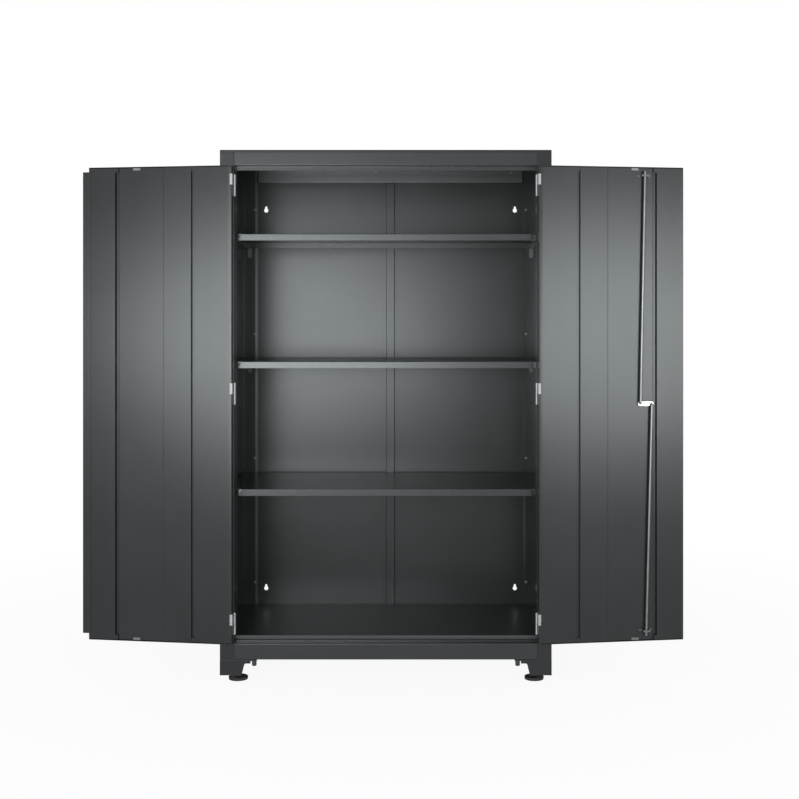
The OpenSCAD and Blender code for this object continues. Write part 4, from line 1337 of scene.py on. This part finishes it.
class CABINET_OT_lock(Operator):
    """Makes the lock: housing, handle, key cylinder, spindle, cam, nut and rod guides"""

    bl_idname = "cabinet.lock"
    bl_label = "Lock"

    def execute(self, context):
        _, along, inward = door_axes(RIGHT)
        rounded_pieces(["lock_housing"], 1.2 * MM, finish("chrome_plate"))
        centre = Vector(JOINTS["lock_turn"]["pos_m"])
        low, high = self.reach_of("lock_handle", -inward)
        stand = self.stand(centre, along, -inward, low)
        swell = context.scene.cabinet_hardware.grip_swell
        handle = handle_form(
            HUB_RADIUS, high - low, HANDLE_LENGTH, GRIP_WIDTH, GRIP_THICKNESS, swell
        )
        add_piece("crowned_lock_handle", put(handle, stand), "lock_handle", finish("chrome_plate"))
        low, high = self.reach_of("key_cylinder", -inward)
        stand = self.stand(centre, along, -inward, low)
        key = put(key_form(KEY_RADIUS, high - low), stand)
        add_piece("slotted_key_cylinder", key, "key_cylinder", finish("chrome_plate"))
        low, high = self.reach_of("lock_spindle", inward)
        shoulder = self.reach_of("lock_cam", inward)[0] - low
        shaft = turned([
            (SPINDLE_RADIUS - 0.6 * MM, 0), (SPINDLE_RADIUS, 0.6 * MM),
            (SPINDLE_RADIUS, shoulder - 0.5 * MM), (SPINDLE_RADIUS - 0.5 * MM, shoulder),
            (SPINDLE_THREAD_RADIUS - 1 * MM, shoulder + 0.2 * MM),
        ])
        depth, pitch = 0.6 * MM, 1.5 * MM
        thread = threaded(SPINDLE_THREAD_RADIUS, depth, pitch, shoulder - 1 * MM, high - low)
        spindle = put(gather([shaft, thread]), self.stand(centre, along, inward, low))
        add_piece("threaded_lock_spindle", spindle, "lock_spindle", finish("bright_zinc"))
        rounded_pieces(["lock_cam"], 0.5 * MM, finish("bright_zinc"))
        low, high = self.reach_of("cam_nut", inward)
        nut = hexagon_nut(NUT_RADIUS, 0, high - low, NUT_BORE)
        add_piece(
            "chamfered_cam_nut", put(nut, self.stand(centre, along, inward, low)), "cam_nut",
            finish("bright_zinc"),
        )
        folded_pieces(["rod_guides"], 1.6 * MM, finish("clip_zinc"))
        return {"FINISHED"}

    def reach_of(self, node, way):
        """How far a node reaches each way along a direction."""
        reaches = [vert.co.dot(way) for vert in frame["nodes"][node].data.vertices]
        return min(reaches), max(reaches)

    def stand(self, centre, along, way, level):
        """A frame on the lock's axis at a level, X along the door and Z the way given."""
        place = centre + way * (level - centre.dot(way))
        turn = Matrix((along, way.cross(along), way)).transposed().to_4x4()
        return Matrix.Translation(place) @ turn


class CABINET_OT_lock_rods(Operator):
    """Draws the two lock rods, each bent into a peg at the cam"""

    bl_idname = "cabinet.lock_rods"
    bl_label = "Lock rods"

    def execute(self, context):
        for node in ("rod_upper", "rod_lower"):
            self.bend_rod(node)
        return {"FINISHED"}

    def bend_rod(self, node):
        """Sweeps one rod from its tip to the bend at the cam, and on into the peg."""
        radius, peg, bend = ROD_RADIUS, PEG_RADIUS, ROD_BEND
        way = 1 if node == "rod_upper" else -1
        pivot = Vector(JOINTS[f"{node}_pivot"]["pos_m"])
        outward = -door_axes(RIGHT)[2]
        points = [vert.co for vert in frame["nodes"][node].data.vertices]
        end = max(point.z * way for point in points)
        last = [point for point in points if point.z * way > end - 0.3 * MM]
        tip = middle_of(last)
        peg_end = max(point.dot(outward) for point in points) - pivot.dot(outward)
        along = (tip - pivot).normalized()
        length = (tip - pivot).length
        path = [
            (tip, radius - 1.5 * MM), (tip - along * 0.3 * MM, radius - 1.1 * MM),
            (tip - along * 1.3 * MM, radius - 0.2 * MM), (tip - along * 2 * MM, radius),
        ]
        path += [(tip - along * length * part / 12, radius) for part in range(1, 12)]
        for step in range(9):
            turn = math.radians(90 * step / 8)
            spot = pivot + (along * (1 - math.sin(turn)) + outward * (1 - math.cos(turn))) * bend
            path.append((spot, radius + (peg - radius) * (step / 8) ** 2))
        path += [
            (pivot + outward * (peg_end - 0.5 * MM), peg),
            (pivot + outward * peg_end, peg - 0.4 * MM),
        ]
        rod = swept(*zip(*path))
        add_piece(f"bent_{node}", rod, node, finish("drawn_zinc"))


# Stage


WHITE = (1, 1, 1, 1)
LAMPS_AIM = Vector((0.0, 0.1, 1.1))
WIDE_LAMP_PLACE, WIDE_LAMP_SIZE = Vector((-1.47, -4.7, 1.25)), (3.75, 1.65)
SIDE_LAMP_PLACE, SIDE_LAMP_SIZE = Vector((2.8, -4.5, 1.27)), (2.4, 1.6)


def add_lamp(name, place, size, power):
    """A soft area lamp aimed at the cabinet."""
    lamp = bpy.data.lights.new(name, "AREA")
    lamp.shape = "ELLIPSE"
    lamp.size, lamp.size_y = size
    lamp.energy = power
    holder = bpy.data.objects.new(name, lamp)
    holder.location = place
    holder.rotation_euler = (LAMPS_AIM - place).to_track_quat("-Z", "Y").to_euler()
    bpy.context.scene.collection.objects.link(holder)


def seen_rays(tree):
    """Light Path's camera, glossy and transmission rays, added together."""
    paths = tree.nodes.new("ShaderNodeLightPath")
    total = paths.outputs["Is Camera Ray"]
    for name in ("Is Glossy Ray", "Is Transmission Ray"):
        total = combine(tree, "ADD", total, paths.outputs[name], clamp=True)
    return total


class CABINET_OT_stage(Operator):
    """Sets the pale floor, the soft lamps, the room light and the camera"""

    bl_idname = "cabinet.stage"
    bl_label = "Stage"

    def execute(self, context):
        stage = context.scene.cabinet_stage
        self.add_floor(stage)
        self.add_room(context, stage)
        add_lamp("wide_lamp_left", WIDE_LAMP_PLACE, WIDE_LAMP_SIZE, stage.wide_power)
        add_lamp("lamp_right", SIDE_LAMP_PLACE, SIDE_LAMP_SIZE, stage.side_power)
        lens = bpy.data.cameras.new("camera")
        lens.lens = stage.focal_length
        lens.sensor_width = 36
        lens.shift_x, lens.shift_y = stage.shift
        lens.clip_end = 60
        camera = bpy.data.objects.new("camera", lens)
        camera.location = stage.camera_place
        camera.rotation_euler = (math.radians(90), 0, 0)
        context.scene.collection.objects.link(camera)
        context.scene.camera = camera
        context.scene.view_settings.view_transform = "Standard"
        return {"FINISHED"}

    def add_floor(self, stage):
        """A floor that sweeps up behind the cabinet."""
        form = bmesh.new()
        drop, front, bend, sweep, height, half_width = -0.3 * MM, -9.0, 3.0, 2.5, 8.0, 12.0
        line = [(front, drop), (bend, drop)]
        line += [
            (bend + sweep * math.sin(turn), sweep - sweep * math.cos(turn) + drop)
            for turn in map(math.radians, range(6, 91, 6))
        ]
        line.append((bend + sweep, height))
        rows = [[form.verts.new((x, y, z)) for x in (-half_width, half_width)] for y, z in line]
        for low, high in zip(rows, rows[1:]):
            form.faces.new((low[0], low[1], high[1], high[0]))
        mesh = bpy.data.meshes.new("floor")
        form.to_mesh(mesh)
        form.free()
        mesh.shade_smooth()
        material, tree, shader, place = start_finish(
            "pale_floor", tuple(stage.floor_colour), 0.75, specular=0.2
        )
        patches = noise(tree, place, 0.8, 2)
        colour = tuple(stage.floor_colour)
        tone = blend_colours(
            tree, spread(tree, patches, 0, 1), shade(colour, 0.99), shade(colour, 1.01)
        )
        tree.links.new(tone, shader.inputs["Base Color"])
        self.add_glow(stage, tree, shader, place)
        mesh.materials.append(material)
        floor = bpy.data.objects.new("floor", mesh)
        bpy.context.scene.collection.objects.link(floor)

    def add_glow(self, stage, tree, shader, place):
        """Makes the floor white to the eye, but less so near the cabinet, where its shadow lies."""
        white = tree.nodes.new("ShaderNodeEmission")
        white.inputs["Color"].default_value = WHITE
        white.inputs["Strength"].default_value = 1.0
        reach = tree.nodes.new("ShaderNodeVectorMath")
        reach.operation = "LENGTH"
        tree.links.new(place, reach.inputs[0])
        share = spread(tree, reach.outputs["Value"], stage.floor_white, 1.0, 0.7, 3.2)
        seen = combine(tree, "MULTIPLY", share, seen_rays(tree))
        mix = tree.nodes.new("ShaderNodeMixShader")
        tree.links.new(seen, mix.inputs["Fac"])
        tree.links.new(shader.outputs[0], mix.inputs[1])
        tree.links.new(white.outputs[0], mix.inputs[2])
        output = next(n for n in tree.nodes if n.type == "OUTPUT_MATERIAL")
        tree.links.new(mix.outputs[0], output.inputs["Surface"])

    def add_room(self, context, stage):
        """A white room to the camera and in reflections, and a soft even light."""
        world = bpy.data.worlds.new("room")
        world.use_nodes = True
        tree = world.node_tree
        tree.nodes.clear()
        light, white = (tree.nodes.new("ShaderNodeBackground") for _ in range(2))
        for node, level in ((light, stage.sky_level), (white, 1.0)):
            node.inputs["Color"].default_value = WHITE
            node.inputs["Strength"].default_value = level
        mix = tree.nodes.new("ShaderNodeMixShader")
        output = tree.nodes.new("ShaderNodeOutputWorld")
        tree.links.new(seen_rays(tree), mix.inputs["Fac"])
        tree.links.new(light.outputs[0], mix.inputs[1])
        tree.links.new(white.outputs[0], mix.inputs[2])
        tree.links.new(mix.outputs[0], output.inputs["Surface"])
        context.scene.world = world


# Add-on


OPERATORS = (
    CABINET_OT_stage,
    CABINET_OT_side_panels,
    CABINET_OT_posts,
    CABINET_OT_top,
    CABINET_OT_rails,
    CABINET_OT_back,
    CABINET_OT_floor,
    CABINET_OT_feet,
    CABINET_OT_levelers,
    CABINET_OT_body_screws,
    CABINET_OT_shelves,
    CABINET_OT_shelf_clips,
    CABINET_OT_doors,
    CABINET_OT_hinges,
    CABINET_OT_lock,
    CABINET_OT_lock_rods,
)


class CABINET_PT_build(Panel):
    """The cabinet's pieces, sizes and finishes"""

    bl_idname = "CABINET_PT_build"
    bl_label = "Storage cabinet"
    bl_space_type = "VIEW_3D"
    bl_region_type = "UI"
    bl_category = "Cabinet"

    def draw(self, context):
        column = self.layout.column()
        for operator in OPERATORS:
            column.operator(operator.bl_idname)
        for name, group in GROUPS.items():
            box = self.layout.box()
            settings = getattr(context.scene, name)
            box.label(text=group.__doc__)
            for key in group.__annotations__:
                box.prop(settings, key)


GROUPS = {
    "cabinet_folds": CabinetFolds,
    "cabinet_finish": CabinetFinish,
    "cabinet_hardware": CabinetHardware,
    "cabinet_stage": CabinetStage,
}
CLASSES = (*GROUPS.values(), *OPERATORS, CABINET_PT_build)


def register():
    for each in CLASSES:
        bpy.utils.register_class(each)
    for name, group in GROUPS.items():
        setattr(bpy.types.Scene, name, PointerProperty(type=group))


def unregister():
    for name in GROUPS:
        delattr(bpy.types.Scene, name)
    for each in reversed(CLASSES):
        bpy.utils.unregister_class(each)


def main():
    register()
    for operator in OPERATORS:
        family, action = operator.bl_idname.split(".")
        getattr(getattr(bpy.ops, family), action)()


if __name__ == "__main__":
    main()
